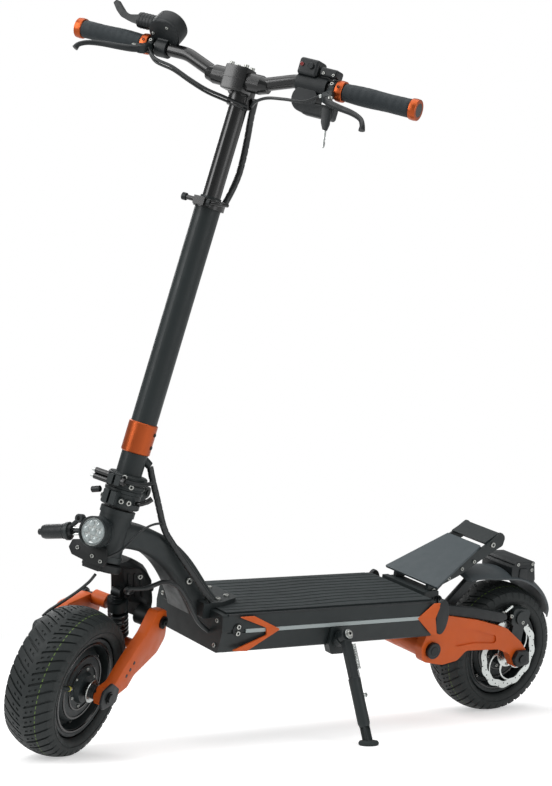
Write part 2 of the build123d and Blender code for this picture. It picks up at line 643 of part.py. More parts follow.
def steering_damper():
    """Cylinder clamped to the wedge plate, with its rod behind the lamp."""
    inner, outer = Vector(DAMPER_IN), Vector(DAMPER_OUT)
    way = (outer - inner).normalized()
    body = rod(inner, outer, 12.5) + rod(outer, outer + way * 8, 5.5)
    body += rod(inner + way * 4, inner + way * 11, 15.5) + rod(inner - way * 14, inner, 8)
    return body


def footrest_frame():
    """Plane of the footrest plate: u up its slope towards the rear, v across, w out of the plate."""
    slope = Vector(REST_REAR[0] - REST_FRONT[0], 0, REST_REAR[1] - REST_FRONT[1])
    out = (slope.Z, 0, -slope.X)
    return Plane(origin=(REST_FRONT[0], 0, REST_FRONT[1]), x_dir=slope, z_dir=out), slope.length


def footrest_plate():
    frame, length = footrest_frame()
    outline = [(0, -REST_FRONT_HALF), (length, -REST_REAR_HALF), (length, REST_REAR_HALF), (0, REST_FRONT_HALF)]
    return frame * extrude(flat(outline, 2), amount=-REST_T)


def footrest_bracket():
    """Cheeks under the plate that run on to the grab handle."""
    frame, length = footrest_frame()
    low = -REST_T - FACE_GAP
    cheek = flat([(8, low), (8, low - 14), (70, low - 22), (150, low - 22), (186, -28), (198, -15), (192, 0),
                  (150, low)], [1, 6, 12, 12, 6, 10, 8, 2])
    inner = HANDLE_HALF - CHEEK_T
    piece = pair(Pos(0, inner, 0) * extrude(Plane.XZ * cheek, amount=CHEEK_T, dir=(0, 1, 0)))
    piece += box(length + 10, length + 48, -inner - 1, inner + 1, -4, 0)
    piece += rod((30, -inner - 1, low - 9), (30, inner + 1, low - 9), 5)
    foot = box(206, 228, HANDLE_HALF - 8, HANDLE_HALF, REST_SEAT + FACE_GAP, REST_SEAT + 10)
    over = flat([(-40, -90), (90, -90), (90, 90), (-40, 90)])
    plate = frame * (extrude(over, amount=low) + extrude(over, amount=60))
    return frame * piece + (pair(foot) - plate)


def rear_mount():
    """Casting on the deck's rear end: shock ears below, footrest seat above."""
    front = DECK_REAR - FACE_GAP
    body = box(front - 14, front, -62, 62, 222, REST_SEAT)
    body += side([(front - 14, REST_SEAT), (206, REST_SEAT), (204, 254), (front - 14, 246)], -56, 56, 2)
    tx, tz = SHOCK_TOP
    ear = [(front - 10, tz + 12), (tx - 2, tz + 9), (tx - 9, tz), (tx - 2, tz - 9), (front - 10, tz - 14)]
    for one in both(side(ear, EYE_HALF + 1, EYE_HALF + 6, 3)):
        body += one
    return body + across(tx, tz, -EYE_HALF - 6, EYE_HALF + 6, EYE_PIN_R)


def rear_fender():
    """Mudguard: an arched shell over the tyre with a level front end."""
    rim, inner = FENDER_R - FENDER_CROWN, FENDER_R - FENDER_CROWN - FENDER_T
    section = make_face([
        ThreePointArc((rim, -FENDER_HALF), (FENDER_R, 0), (rim, FENDER_HALF)),
        Line((rim, FENDER_HALF), (inner, FENDER_HALF - 1)),
        ThreePointArc((inner, FENDER_HALF - 1), (FENDER_R - FENDER_T, 0), (inner, -FENDER_HALF + 1)),
        Line((inner, -FENDER_HALF + 1), (rim, -FENDER_HALF))])
    ahead = extrude(Rot(0, -90, 0) * section, amount=FENDER_AHEAD, dir=(1, 0, 0))
    arch = Rot(0, -90, 0) * mirror(revolve(section, axis=Axis.Y, revolution_arc=FENDER_ARC), about=Plane.XY)
    return Pos(FENDER_C[0], 0, FENDER_C[1]) * (arch + ahead) + fender_stays()


def fender_stays():
    """Two bars from the mudguard's front end down to the arm's crossbar."""
    top = FENDER_C[1] + FENDER_R - 10
    outline = [(FENDER_AHEAD - 2, top + 1.5), (FENDER_AHEAD - 14, top + 1.5), (FENDER_AHEAD - 12, top - 8),
               (192, 188), (204, 193)]
    return clear_of(pair(side(outline, 31, 37, 1)), rear_swingarm())


def tail_box():
    """Tail light's housing, seated on the mudguard's crown."""
    housing = side([(8, 300), (-4, 312), (-46, 308), (-54, 276), (8, 284)], -43, 43, 3)
    x, z = FENDER_C
    return housing - across(x, z, -60, 60, FENDER_R + FACE_GAP)


def tail_lens():
    return side([(-47.4, 306), (-50.4, 305), (-55.2, 286), (-52.4, 286)], -30, 30)


def stand_bracket():
    """Plate under the deck's edge with the pivot boss and its bolt."""
    pivot = Vector(*STAND_PIVOT)
    n = stand_axis()
    boss = rod(pivot - n * 26, pivot - n * (KNUCKLE / 2 + FACE_GAP), 13)
    x, y, z = STAND_PIVOT
    plate = side([(x - 24, z - 20), (x - 24, z + 12), (x + 20, z + 12), (x + 20, z - 20), (x + 12, z - 38),
                  (x - 16, z - 38)], 88, y - 16.5, 5)
    bolt = rod(pivot - n * 14, pivot + n * (KNUCKLE / 2 + 4), 5)
    head = rod(pivot + n * (KNUCKLE / 2 + FACE_GAP), pivot + n * (KNUCKLE / 2 + 5), 8)
    body = boss + plate - lengthwise(deck_section(-FACE_GAP), 300, 700)
    return body + bolt + head


def stand_axis():
    """The pivot's line: across the scooter and square to the leg."""
    way = stand_way()
    return Vector(0, -way.Z, way.Y).normalized()


def stand_leg():
    """Eye, upper leg, thicker lower tube and the foot's pad."""
    lay = Plane(origin=STAND_PIVOT, x_dir=stand_axis(), z_dir=stand_way())
    length = stand_way().length
    leg = rod((-KNUCKLE / 2, 0, 0), (KNUCKLE / 2, 0, 0), 12)
    leg += rod((0, 0, 6), (0, 0, length * 0.6), 8)
    leg += rod((0, 0, length * 0.55), (0, 0, length - 10), 11)
    leg -= rod((-KNUCKLE, 0, 0), (KNUCKLE, 0, 0), 5 + RUN_GAP)
    pad = Pos(STAND_FOOT[0], STAND_FOOT[1], 0) * Cylinder(18, 8, align=(Align.CENTER, Align.CENTER, Align.MIN))
    return lay * leg + GROUND.inverse() * pad


def stand_spring():
    """Coil spring along the back of the leg."""
    start = Vector(*STAND_PIVOT) + Vector(SPRING_BACK, 0, 0)
    way = stand_way().normalized()
    return rod(start + way * 14, start + way * 62, 5.5)


def display_unit():
    """Display and thumb throttle in one housing on the right of the bar, its face to the rider."""
    z, g = BAR_S + BAR_RISE, -RUBBER_IN
    body = Pos(9, g + 43, z + 30) * Rot(0, -DISPLAY_TILT, 0) * fillet(Cylinder(DISPLAY_R, 30).edges(), 3)
    body += rod((0, g + 30, z), (0, g + 50, z), 16) + box(-10, 12, g + 30, g + 50, z + 4, z + 24)
    body += rod((4, g - 17, z + 36), (4, g + 24, z + 36), 13)
    trigger = [(g - 10, z + 45), (g - 34, z + 40), (g - 48, z + 44), (g - 60, z + 54), (g - 67, z + 60),
               (g - 72, z + 53), (g - 62, z + 42), (g - 50, z + 33), (g - 34, z + 29), (g - 10, z + 27)]
    body += extrude(Plane.YZ * flat(trigger, [3, 20, 14, 10, 2, 2, 10, 14, 20, 3]), amount=12)
    body -= rod((0, g + LEVER_OUT - CLEAR, z), (0, g + LEVER_IN + CLEAR, z), LEVER_CLAMP_R + CLEAR)
    return body - rod((0, -BAR_HALF, z), (0, 0, z), BAR_R + FACE_GAP)


def switch_unit():
    """Switch box above the bar and lock housing below it, on the left."""
    z, g = BAR_S + BAR_RISE, RUBBER_IN
    body = fillet(box(-16, 18, g - 86, g - 50, z + 10, z + 38).edges(), 5)
    body += rod((0, g - 84, z), (0, g - 30, z), 16)
    body += fillet(box(-12, 14, g - 48, g - LEVER_OUT - 2, z + LEVER_CLAMP_R + CLEAR, z + 30).edges(), 4)
    body += box(-8, 8, g - 46, g - 30, z + 8, z + 20)
    body += rod((-12, g - 62, z - 26), (12, g - 62, z - 26), 22)
    body += fillet(box(-12, 12, g - 62, g - 6, z - 50, z - 28).edges(), 5)
    body -= rod((0, 0, z - 2), (0, g - 62, z - 1), BAR_R + 2)
    return body - rod((0, 0, z), (0, BAR_HALF, z), BAR_R + FACE_GAP)


def key():
    """Lock barrel on the front of the lock housing, with the key hanging in it."""
    z, y = BAR_S + BAR_RISE, RUBBER_IN - 14
    barrel = rod((12 + FACE_GAP, y, z - 40), (20, y, z - 40), 6)
    return barrel + box(18, 23, y - 8, y + 8, z - 70, z - 37) + box(19.5, 21.5, y - 3, y + 3, z - 97, z - 66)


def on_column(p):
    """An upright-frame point from axis coordinates, with the bars turned as parked."""
    q = COLUMN_O + FWD * p[0] + Vector(0, p[1], 0) + UP * p[2]
    return COLUMN_O + steer_vector(q - COLUMN_O)


def on_frame(piece):
    return GROUND * piece


def on_fork(piece):
    return GROUND * piece.rotate(STEER_AXIS, STEER)


def build_nodes():
    """Every node: name, piece in its own frame, and whether it turns with the bars."""
    nodes = {}

    def frame(name, piece):
        nodes[name] = on_frame(piece)

    def fork(name, piece):
        nodes[name] = on_fork(piece)

    def column(name, piece):
        fork(name, COLUMN * piece)

    frame("deck_shell", deck_shell())
    frame("deck_caps", deck_cap(DECK_FRONT - CAP_T, DECK_FRONT) + deck_cap(DECK_REAR, DECK_REAR + CAP_T))
    frame("battery_pack", battery_pack())
    frame("deck_mat", deck_mat())
    frame("light_bars", light_bars())
    frame("front_chevrons", chevrons(FRONT_CHEVRON, 4, 2))
    frame("rear_chevrons", chevrons(REAR_CHEVRON, 8, 3))
    frame("neck", neck())
    frame("rear_mount", rear_mount())
    frame("rear_swingarm", rear_swingarm())
    frame("rear_pivot", rear_pivot())
    frame("rear_shock", coil_shock(SHOCK_TOP, SHOCK_LOW, 17, 5, 8))
    frame("rear_axle", Pos(0, 0, TYRE_R) * axle(ARM_REAR_IN, ARM_REAR_OUT, 1))
    frame("rear_caliper", clear_of(caliper(REAR_AXLE, 69, -6, 1, ARM_REAR_IN), rear_swingarm()))
    frame("rear_fender", rear_fender())
    frame("tail_box", tail_box())
    frame("tail_lens", tail_lens())
    frame("footrest_plate", footrest_plate())
    frame("footrest_bracket", footrest_bracket())
    frame("stand_bracket", stand_bracket())
    rear_hose = [(232, 66, 236), (180, 68, 230), (120, 68, 218), (70, 66, 206), (36, 62, 196)]
    frame("rear_brake_hose", tube_along(rear_hose, 4))
    frame("rear_tyre", Pos(0, 0, TYRE_R) * tyre())
    frame("rear_hub", Pos(0, 0, TYRE_R) * hub(1))
    frame("rear_disc", Pos(0, 0, TYRE_R) * brake_disc(1))
    frame("stand_leg", stand_leg())
    frame("stand_spring", stand_spring())

    fork("fork_yoke", fork_yoke())
    fork("front_arms", front_arms())
    fork("front_pivots", front_pivots())
    fork("front_shock", coil_shock(FRONT_SHOCK_TOP, FRONT_SHOCK_LOW, 18, 5, 9))
    fork("front_axle", Pos(WHEELBASE, 0, TYRE_R) * axle(ARM_FRONT_IN, ARM_FRONT_OUT, -1))
    fork("front_caliper", clear_of(caliper(FRONT_AXLE, 69, 4, -1, ARM_FRONT_IN), front_arms()))
    column("lamp_bracket", lamp_bracket())
    column("headlamp", headlamp())
    column("headlamp_lens", headlamp_lens())
    column("steering_damper", steering_damper())
    column("fold_base", fold_base())
    front_hose = [(38, 14, 190), (38, 8, 176), (38, -6, 156), (38, -30, 128), (39, -50, 106), (40, -57, 94)]
    column("front_brake_hose", tube_along(front_hose, 2.5))
    fork("front_tyre", Pos(WHEELBASE, 0, TYRE_R) * tyre())
    fork("front_hub", Pos(WHEELBASE, 0, TYRE_R) * hub(-1))
    fork("front_disc", Pos(WHEELBASE, 0, TYRE_R) * brake_disc(-1))

    column("fold_head", fold_head())
    column("stem_tube", stem_tube())
    column("stem_collar", upright_ring(COLLAR_LOW, COLLAR_HIGH, COLLAR_R, STEM_R + FACE_GAP))
    column("height_clamp", height_clamp())

    column("slider_tube", upright_ring(SLIDER_LOW, SLIDER_TOP, SLIDER_R, SLIDER_R - 2.5))
    column("bar_clamp", bar_clamp())
    on_bar = Pos(BAR_AHEAD, 0, 0)
    column("handlebar", on_bar * handlebar())
    column("grips", on_bar * pair(grip()))
    rings = grip_ring(GRIP_IN, RUBBER_IN - FACE_GAP) + grip_ring(BAR_HALF - RING_W + FACE_GAP, BAR_HALF)
    column("grip_rings", on_bar * pair(rings))
    left, right = (brake_lever(droop) for droop in LEVER_DROOP)
    column("brake_levers", on_bar * (left + mirror(right, about=Plane.XZ)))
    column("display_unit", on_bar * display_unit())
    column("switch_unit", on_bar * switch_unit())
    column("key", on_bar * key())
    column("harness_bar_run", tube_along(HARNESS_BAR, HARNESS_R))
    column("harness_stem_run", tube_along(HARNESS_STEM, HARNESS_R))
    deck_run = [on_column(HARNESS_STEM[-1]), on_column((-60, 63, 283)), (806, 38, 366), (789, 45, 343),
                (771, 51, 321), (753, 55, 300), (738, 57, 282), (725, 57, DECK_TOP + 15)]
    frame("harness_deck_run", tube_along(deck_run, HARNESS_R))
    motor_run = [on_column((-56, 34, 172)), on_column((-70, 52, 176)), (825, 24, 292), (815, 40, 304),
                 (796, 54, 299), (779, 61, 276), (764, 64, 251), (748, 65, 230), (DECK_FRONT + 2, 65, 219)]
    yoke = fork_yoke().rotate(STEER_AXIS, STEER)
    frame("motor_cable", clear_of(tube_along(motor_run, 4), yoke))
    lamp_run = [on_column((34, 14, 216)), on_column((27, 24, 224)), on_column((19, 33, 234)),
                on_column((12, 40, 246)), (893, 44, 380), (880, 44, 392), (864, 43, 401), (847, 40, 404),
                (832, 34, 402), (824, 28, 399)]
    frame("lamp_cable", tube_along(lamp_run, 2) - tube_along(deck_run, HARNESS_R + FACE_GAP))
    return nodes


CORDS = ("harness_bar_run", "harness_stem_run", "harness_deck_run", "motor_cable", "lamp_cable",
         "front_brake_hose", "rear_brake_hose")


def main():
    os.makedirs("parts", exist_ok=True)
    nodes = build_nodes()
    boxes = [piece.bounding_box() for name, piece in nodes.items() if name not in CORDS]
    low = [min(getattr(b.min, c) for b in boxes) for c in "XYZ"]
    high = [max(getattr(b.max, c) for b in boxes) for c in "XYZ"]
    shift = Pos(-(low[0] + high[0]) / 2, -(low[1] + high[1]) / 2, -low[2])
    print("shift", shift.position, "pitch", PITCH, "lift", -REAR_LOW)
    for label, point, way in (("steering", COLUMN_O, UP), ("rear", Vector(0, 0, TYRE_R), Vector(0, 1, 0)),
                              ("front", FRONT_C, steer_vector(Vector(0, 1, 0))),
                              ("fold", on_column((-HINGE_BACK, 0, HINGE_S)), steer_vector(Vector(0, 1, 0))),
                              ("slide", on_column((0, 0, BAR_S)), UP), ("stand", Vector(*STAND_PIVOT), stand_axis()),
                              ("deck_top", Vector((DECK_REAR + 640) / 2, 0, MAT_TOP), Vector(0, 0, 1))):
        place = shift * GROUND
        at = (place * Pos(*point)).position
        ahead = (place * Pos(*(point + way))).position
        print(label, [round(v / 1000, 6) for v in at], [round(v, 6) for v in (ahead - at)])
    for name, piece in nodes.items():
        export_step(shift * piece, f"parts/{name}.step")


main()
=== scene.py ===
"""Looks for the off-road electric scooter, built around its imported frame.

Pieces are modelled in millimetres in local frames, and then placed in the row frame: FRAME is the upright
scooter (x forward from the rear axle, y left, z up), FORK the same with the bars turned, COLUMN the steering
column (a forward, y left, s up), BAR the same about the handlebar's middle, STAND the stand's leg, and
REAR_WHEEL and FRONT_WHEEL the wheels about their axles.
"""
import json
from math import cos, pi, radians, sin, sqrt, tan

import bmesh
import bpy
from mathutils import Matrix, Vector


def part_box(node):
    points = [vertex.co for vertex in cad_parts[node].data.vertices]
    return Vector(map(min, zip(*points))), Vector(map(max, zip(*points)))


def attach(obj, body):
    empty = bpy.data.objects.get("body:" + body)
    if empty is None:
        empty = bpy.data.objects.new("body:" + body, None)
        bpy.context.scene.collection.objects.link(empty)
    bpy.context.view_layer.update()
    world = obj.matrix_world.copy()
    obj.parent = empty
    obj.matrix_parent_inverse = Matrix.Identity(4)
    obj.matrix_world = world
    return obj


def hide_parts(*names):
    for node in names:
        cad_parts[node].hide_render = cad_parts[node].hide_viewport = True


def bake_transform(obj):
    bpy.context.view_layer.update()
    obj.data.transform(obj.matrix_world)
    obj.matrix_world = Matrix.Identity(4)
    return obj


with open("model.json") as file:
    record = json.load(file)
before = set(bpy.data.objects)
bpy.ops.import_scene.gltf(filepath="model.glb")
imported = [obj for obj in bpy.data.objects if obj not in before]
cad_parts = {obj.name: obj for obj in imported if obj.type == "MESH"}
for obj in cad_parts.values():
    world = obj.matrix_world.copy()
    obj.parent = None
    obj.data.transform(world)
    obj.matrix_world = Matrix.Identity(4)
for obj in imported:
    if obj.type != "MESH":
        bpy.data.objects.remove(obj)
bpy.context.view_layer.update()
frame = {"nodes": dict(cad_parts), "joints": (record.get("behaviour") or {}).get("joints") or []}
bpy.context.scene.view_settings.view_transform = "Standard"
NODES = frame["nodes"]
JOINTS = {j["name"]: j for j in frame["joints"]}

# Stance and sizes, as in the part's source, in mm and degrees
MM = 0.001
WHEELBASE = 961.0
TYRE_R = 127.4
STEER = 27.0
BAR_S = 1033.0                # the bar's place along the column
BAR_AHEAD = 26.0              # and how far it lies ahead of it
BAR_Z = 21.0                  # rise of the bar's ends over its centre
DECK_FRONT = 727.0
DECK_REAR = 245.0
DECK_TOP = 255.4
DECK_HALF = 101.0
BELT_Z = 227.0                # height of the light bars

# Local frames


def basis(x, y, z, origin):
    m = Matrix((x, y, z)).transposed().to_4x4()
    m.translation = origin
    return m


def joint_line(name):
    j = JOINTS[name]
    return Vector(j["pos_m"]), Vector(j["axis"]).normalized()


COLUMN_O, UP = joint_line("steering")
REAR_O, LEFT = joint_line("rear_wheel_spin")
FRONT_O = joint_line("front_wheel_spin")[0]
TURNED = Matrix.Translation(COLUMN_O) @ Matrix.Rotation(radians(STEER), 4, UP) @ Matrix.Translation(-COLUMN_O)
FWD = LEFT.cross(UP).normalized()
X_AXIS = (TURNED.inverted() @ FRONT_O - REAR_O).normalized()
Z_AXIS = X_AXIS.cross(LEFT).normalized()
SCALE = Matrix.Scale(MM, 4)
FRAME = basis(X_AXIS, LEFT, Z_AXIS, REAR_O - Z_AXIS * TYRE_R * MM) @ SCALE
FORK = TURNED @ FRAME
COLUMN = TURNED @ basis(FWD, LEFT, UP, COLUMN_O) @ SCALE
BAR = COLUMN @ Matrix.Translation((BAR_AHEAD, 0, BAR_S))
REAR_WHEEL = FRAME @ Matrix.Translation((0, 0, TYRE_R))
FRONT_WHEEL = FORK @ Matrix.Translation((WHEELBASE, 0, TYRE_R))

# Camera, solved from the wheels, deck and column in the photograph, in the row frame
CAMERA_TARGET = REAR_O + Vector((0.5, -0.02807, 0.48372))
CAMERA_AZ, CAMERA_EL = 142.69, -1.04
CAMERA_DIST = 3.7319
CAMERA_LENS = 94.2
CAMERA_ROLL = 0.06


def make_camera():
    """The camera; gives the way from its target back to it."""
    az, el = radians(CAMERA_AZ), radians(CAMERA_EL)
    back = Vector((sin(az) * cos(el), -cos(az) * cos(el), sin(el)))
    cam = bpy.data.objects.new("camera", bpy.data.cameras.new("camera"))
    bpy.context.scene.collection.objects.link(cam)
    cam.data.sensor_width = 36
    cam.data.lens = CAMERA_LENS
    cam.data.clip_end = 50
    cam.rotation_mode = "QUATERNION"
    turn = (-back).to_track_quat("-Z", "Y").to_matrix() @ Matrix.Rotation(radians(CAMERA_ROLL), 3, "Z")
    cam.rotation_quaternion = turn.to_quaternion()
    cam.location = CAMERA_TARGET + back * CAMERA_DIST
    bpy.context.scene.camera = cam
    return back


BACK = make_camera()
RIGHT = Vector((0, 0, 1)).cross(BACK).normalized()

# Materials


def srgb(rgb):
    """Linear colour from 8-bit values."""
    shares = [v / 255 for v in rgb]
    return tuple(v / 12.92 if v <= 0.04045 else ((v + 0.055) / 1.055) ** 2.4 for v in shares) + (1,)


def shade(color, k):
    return tuple(v * k for v in color[:3]) + (1,)


class Tree:
    """Short spelling for a node tree."""

    def __init__(self, tree):
        self.tree = tree
        tree.nodes.clear()

    def add(self, kind, **values):
        node = self.tree.nodes.new(kind)
        for key, value in values.items():
            if key in node.inputs:
                node.inputs[key].default_value = value
            else:
                setattr(node, key, value)
        return node

    def feed(self, value, socket):
        """Link an output to a socket, or set the socket to a plain value."""
        if hasattr(value, "is_output"):
            self.tree.links.new(value, socket)
        else:
            socket.default_value = value

    def ramp(self, value, low, high):
        """Colour or level between two stops, each a place and what it gives there."""
        node = self.add("ShaderNodeValToRGB")
        for element, (at, color) in zip(node.color_ramp.elements, (low, high)):
            element.position = at
            element.color = color if hasattr(color, "__len__") else (color, color, color, 1)
        self.feed(value, node.inputs[0])
        return node.outputs[0]

    def mix(self, fac, a, b):
        node = self.add("ShaderNodeMix", data_type="RGBA")
        for value, i in ((fac, 0), (a, 6), (b, 7)):
            self.feed(value, node.inputs[i])
        return node.outputs[2]

    def math(self, op, a, b):
        node = self.add("ShaderNodeMath", operation=op)
        self.feed(a, node.inputs[0])
        self.feed(b, node.inputs[1])
        return node.outputs[0]

    def mix_shader(self, fac, a, b):
        node = self.add("ShaderNodeMixShader")
        for i, value in enumerate((fac, a, b)):
            self.feed(value, node.inputs[i])
        return node.outputs[0]


class Nodes(Tree):
    """A new material's node tree."""

    def __init__(self, name):
        self.mat = bpy.data.materials.new(name)
        self.mat.use_nodes = True
        super().__init__(self.mat.node_tree)
        self.out = self.add("ShaderNodeOutputMaterial")
        self.bsdf = self.add("ShaderNodeBsdfPrincipled")
        self.feed(self.bsdf.outputs[0], self.out.inputs[0])
        self.coord = self.add("ShaderNodeTexCoord").outputs["Object"]

    def noise(self, scale, detail):
        node = self.add("ShaderNodeTexNoise", Scale=scale, Detail=detail, Roughness=0.55)
        self.feed(self.coord, node.inputs["Vector"])
        return node.outputs["Fac"]

    def bump(self, height, strength, distance):
        node = self.add("ShaderNodeBump", Strength=strength, Distance=distance)
        self.feed(height, node.inputs["Height"])
        self.feed(node.outputs[0], self.bsdf.inputs["Normal"])


M = {}


def finish(look, name, rgb, rough, spread=0.1, metallic=0.0, level=0.5, mottle=0.15, grain=900, depth=0.02,
           coat=0.0, blotch=9, dust=0.0, dust_rgb=(58, 64, 64)):
    """A finish with mottled colour, uneven gloss, fine grain and, if asked, dust on upward faces."""
    color = srgb(rgb)
    n = Nodes(name)
    cloud = n.noise(blotch, 5)
    fine = n.noise(grain, 3)
    tone = n.ramp(cloud, (0.3, shade(color, 1 - mottle)), (0.7, shade(color, 1 + mottle)))
    tone = n.mix(n.ramp(fine, (0.35, 0.0), (0.75, 0.35)), tone, shade(color, 1 + 1.6 * mottle))
    if dust:
        up = n.add("ShaderNodeSeparateXYZ")
        n.feed(n.add("ShaderNodeNewGeometry").outputs["Normal"], up.inputs[0])
        lift = n.ramp(up.outputs[2], (0.25, 0.0), (1.0, dust))
        patches = n.ramp(n.noise(40, 6), (0.35, 0.0), (0.7, 1.0))
        tone = n.mix(n.math("MULTIPLY", lift, patches), tone, srgb(dust_rgb))
    gloss = n.ramp(n.noise(blotch * 6, 4), (0.3, rough - spread), (0.7, rough + spread))
    for socket, value in (("Base Color", tone), ("Roughness", gloss), ("Metallic", metallic),
                          ("Specular IOR Level", level), ("Coat Weight", coat), ("Coat Roughness", 0.12)):
        n.feed(value, n.bsdf.inputs[socket])
    n.bump(fine, 0.35, depth * MM)
    M[look] = n.mat


finish("tyre", "tyre_rubber", (28, 33, 33), 0.6, 0.07, level=0.35, mottle=0.1, depth=0.08, blotch=20,
       dust=0.12)
finish("mark", "green_tyre_line", (84, 108, 44), 0.6, 0.05, mottle=0.3, blotch=120)
finish("valve", "yellow_valve_ring", (190, 186, 70), 0.45, 0.05, mottle=0.1)
finish("lens", "headlamp_glass", (158, 168, 168), 0.12, 0.04, level=0.6, mottle=0.25, grain=300, depth=0.05,
       coat=0.6, blotch=70)
finish("display", "display_glass", (14, 17, 19), 0.1, 0.03, level=0.6, mottle=0.05, coat=0.8)
finish("paint", "black_satin_paint", (27, 34, 35), 0.45, 0.06, level=0.34, grain=1400, depth=0.03)
finish("gloss", "black_gloss_paint", (9, 11, 12), 0.25, 0.04, level=0.45, mottle=0.08, grain=500, depth=0.004,
       coat=0.15)
finish("cast", "black_cast_paint", (27, 34, 35), 0.5, 0.08, level=0.4, grain=700, depth=0.12)
# A darker copy of the black cast paint, darkened as painted shade for the yoke and the lamp plate under the
# head
finish("cast_shaded", "cast_paint_painted_shade", (13, 17, 18), 0.5, 0.08, level=0.34, grain=700, depth=0.1)
finish("orange", "orange_powder_paint", (198, 86, 24), 0.44, 0.07, level=0.34, mottle=0.12, grain=1200,
       depth=0.04)
finish("anodised", "orange_anodised", (168, 76, 32), 0.34, 0.06, metallic=0.75, mottle=0.08, grain=2200)
finish("plate", "grey_anodised_plate", (58, 67, 71), 0.52, 0.06, metallic=0.25, mottle=0.06, grain=2600)
finish("plastic", "black_moulded_plastic", (19, 24, 26), 0.48, 0.07, level=0.36, grain=1800, depth=0.06)
finish("fender", "satin_mudguard_plastic", (62, 69, 72), 0.42, 0.06, mottle=0.08, grain=2000, depth=0.05)
finish("rubber", "black_rubber", (40, 46, 47), 0.72, 0.08, level=0.3, grain=1600, depth=0.05)
finish("grip", "grip_rubber", (42, 48, 51), 0.68, 0.07, level=0.3, grain=2600, depth=0.1)
finish("steel", "bright_steel", (188, 192, 190), 0.28, 0.08, metallic=1.0, mottle=0.1, depth=0.01)
finish("bolt", "zinc_bolts", (170, 172, 168), 0.34, metallic=0.95)
finish("dark_steel", "black_oxide_steel", (30, 33, 34), 0.36, 0.08, metallic=0.6, depth=0.03)
finish("spring", "black_spring", (30, 35, 36), 0.3, 0.06, grain=600, coat=0.3)
finish("light", "frosted_light_strip", (160, 170, 170), 0.38, 0.05, mottle=0.04, grain=2600)
finish("red", "red_lens", (120, 14, 12), 0.2, 0.04, mottle=0.08, grain=400, depth=0.03, coat=0.6)
finish("battery", "battery_wrap", (30, 32, 34), 0.6)
finish("sheath", "cable_sheath", (26, 30, 31), 0.4, 0.06, level=0.45, grain=2000, depth=0.03)

# The finish of each node of the part
CAD_LOOK = {
    "paint": ("deck_shell", "deck_caps", "footrest_bracket", "stand_bracket", "lamp_bracket", "headlamp",
              "stem_tube"),
    "cast": ("neck", "rear_mount", "rear_caliper", "fork_yoke", "front_caliper", "fold_base", "fold_head",
             "front_hub", "rear_hub", "stand_leg"),
    "gloss": ("steering_damper", "height_clamp", "slider_tube", "bar_clamp", "handlebar", "brake_levers"),
    "orange": ("front_chevrons", "rear_chevrons", "rear_swingarm", "front_arms"),
    "anodised": ("stem_collar", "grip_rings"),
    "plate": ("footrest_plate",),
    "plastic": ("tail_box", "display_unit", "switch_unit"),
    "fender": ("rear_fender",),
    "rubber": ("deck_mat", "front_tyre", "rear_tyre"),
    "grip": ("grips",),
    "steel": ("key", "front_disc", "rear_disc", "stand_spring"),
    "dark_steel": ("rear_pivot", "rear_shock", "rear_axle", "front_pivots", "front_shock", "front_axle"),
    "light": ("light_bars", "headlamp_lens"),
    "red": ("tail_lens",),
    "battery": ("battery_pack",),
    "sheath": ("rear_brake_hose", "front_brake_hose", "harness_deck_run", "harness_stem_run",
               "harness_bar_run", "motor_cable", "lamp_cable"),
}
for look, nodes in CAD_LOOK.items():
    for node in nodes:
        mesh = NODES[node].data
        mesh.materials.clear()
        mesh.materials.append(M[look])
        for polygon in mesh.polygons:
            polygon.material_index = 0

# Mesh kit, in mm

SIDE_VIEW = Matrix(((1, 0, 0, 0), (0, 0, 1, 0), (0, 1, 0, 0), (0, 0, 0, 1)))      # local (x, z, y)
FRONT_VIEW = Matrix(((0, 0, 1, 0), (1, 0, 0, 0), (0, 1, 0, 0), (0, 0, 0, 1)))     # local (y, z, x)
MIRROR_Y = Matrix.Scale(-1, 4, (0, 1, 0))
BOTH_SIDES = (Matrix(), MIRROR_Y)
CORNER_STEPS = 5
COIL_ENDS = 0.6               # turns that lie closed at each end of a coil


def to_way(at, way, x_dir=None):
    """Matrix that puts local z along way at a point, with local x near x_dir."""
    z = Vector(way).normalized()
    if x_dir is None:
        x_dir = (1, 0, 0) if abs(z.x) < 0.9 else (0, 1, 0)
    hint = Vector(x_dir)
    x = (hint - z * hint.dot(z)).normalized()
    return basis(x, z.cross(x), z, Vector(at))


def polar(r, deg, z=0.0):
    """The point at a radius and an angle about local z."""
    return Vector((r * cos(radians(deg)), r * sin(radians(deg)), z))


def rounded(points, radii):
    """An outline with its corners rounded; radii is one value or one for each point."""
    count = len(points)
    each = radii if hasattr(radii, "__len__") else [radii] * count
    out = []
    for i, r in enumerate(each):
        p = Vector(points[i]).to_2d()
        a = Vector(points[i - 1]).to_2d() - p
        b = Vector(points[(i + 1) % count]).to_2d() - p
        half = a.angle(b) / 2
        if r <= 0 or half > 1.55:
            out.append(p)
            continue
        back = min(r / tan(half), 0.49 * a.length, 0.49 * b.length)
        start, end = p + a.normalized() * back, p + b.normalized() * back
        for k in range(CORNER_STEPS + 1):
            t = k / CORNER_STEPS
            out.append(start * (1 - t) ** 2 + p * 2 * t * (1 - t) + end * t * t)
    return out


def smooth_path(points, steps):
    """Points along a Catmull-Rom curve."""
    p = [Vector(q) for q in points]
    p = [2 * p[0] - p[1]] + p + [2 * p[-1] - p[-2]]
    out = []
    for i in range(1, len(p) - 2):
        for k in range(steps):
            t = k / steps
            out.append(0.5 * (2 * p[i] + (p[i + 1] - p[i - 1]) * t
                              + (2 * p[i - 1] - 5 * p[i] + 4 * p[i + 1] - p[i + 2]) * t * t
                              + (3 * p[i] - p[i - 1] - 3 * p[i + 1] + p[i + 2]) * t ** 3))
    return out + [p[-2]]


def band(i, count):
    """Quads between ring i and the next, each of count points."""
    low, high = i * count, (i + 1) * count
    return [(low + k, low + (k + 1) % count, high + (k + 1) % count, high + k) for k in range(count)]


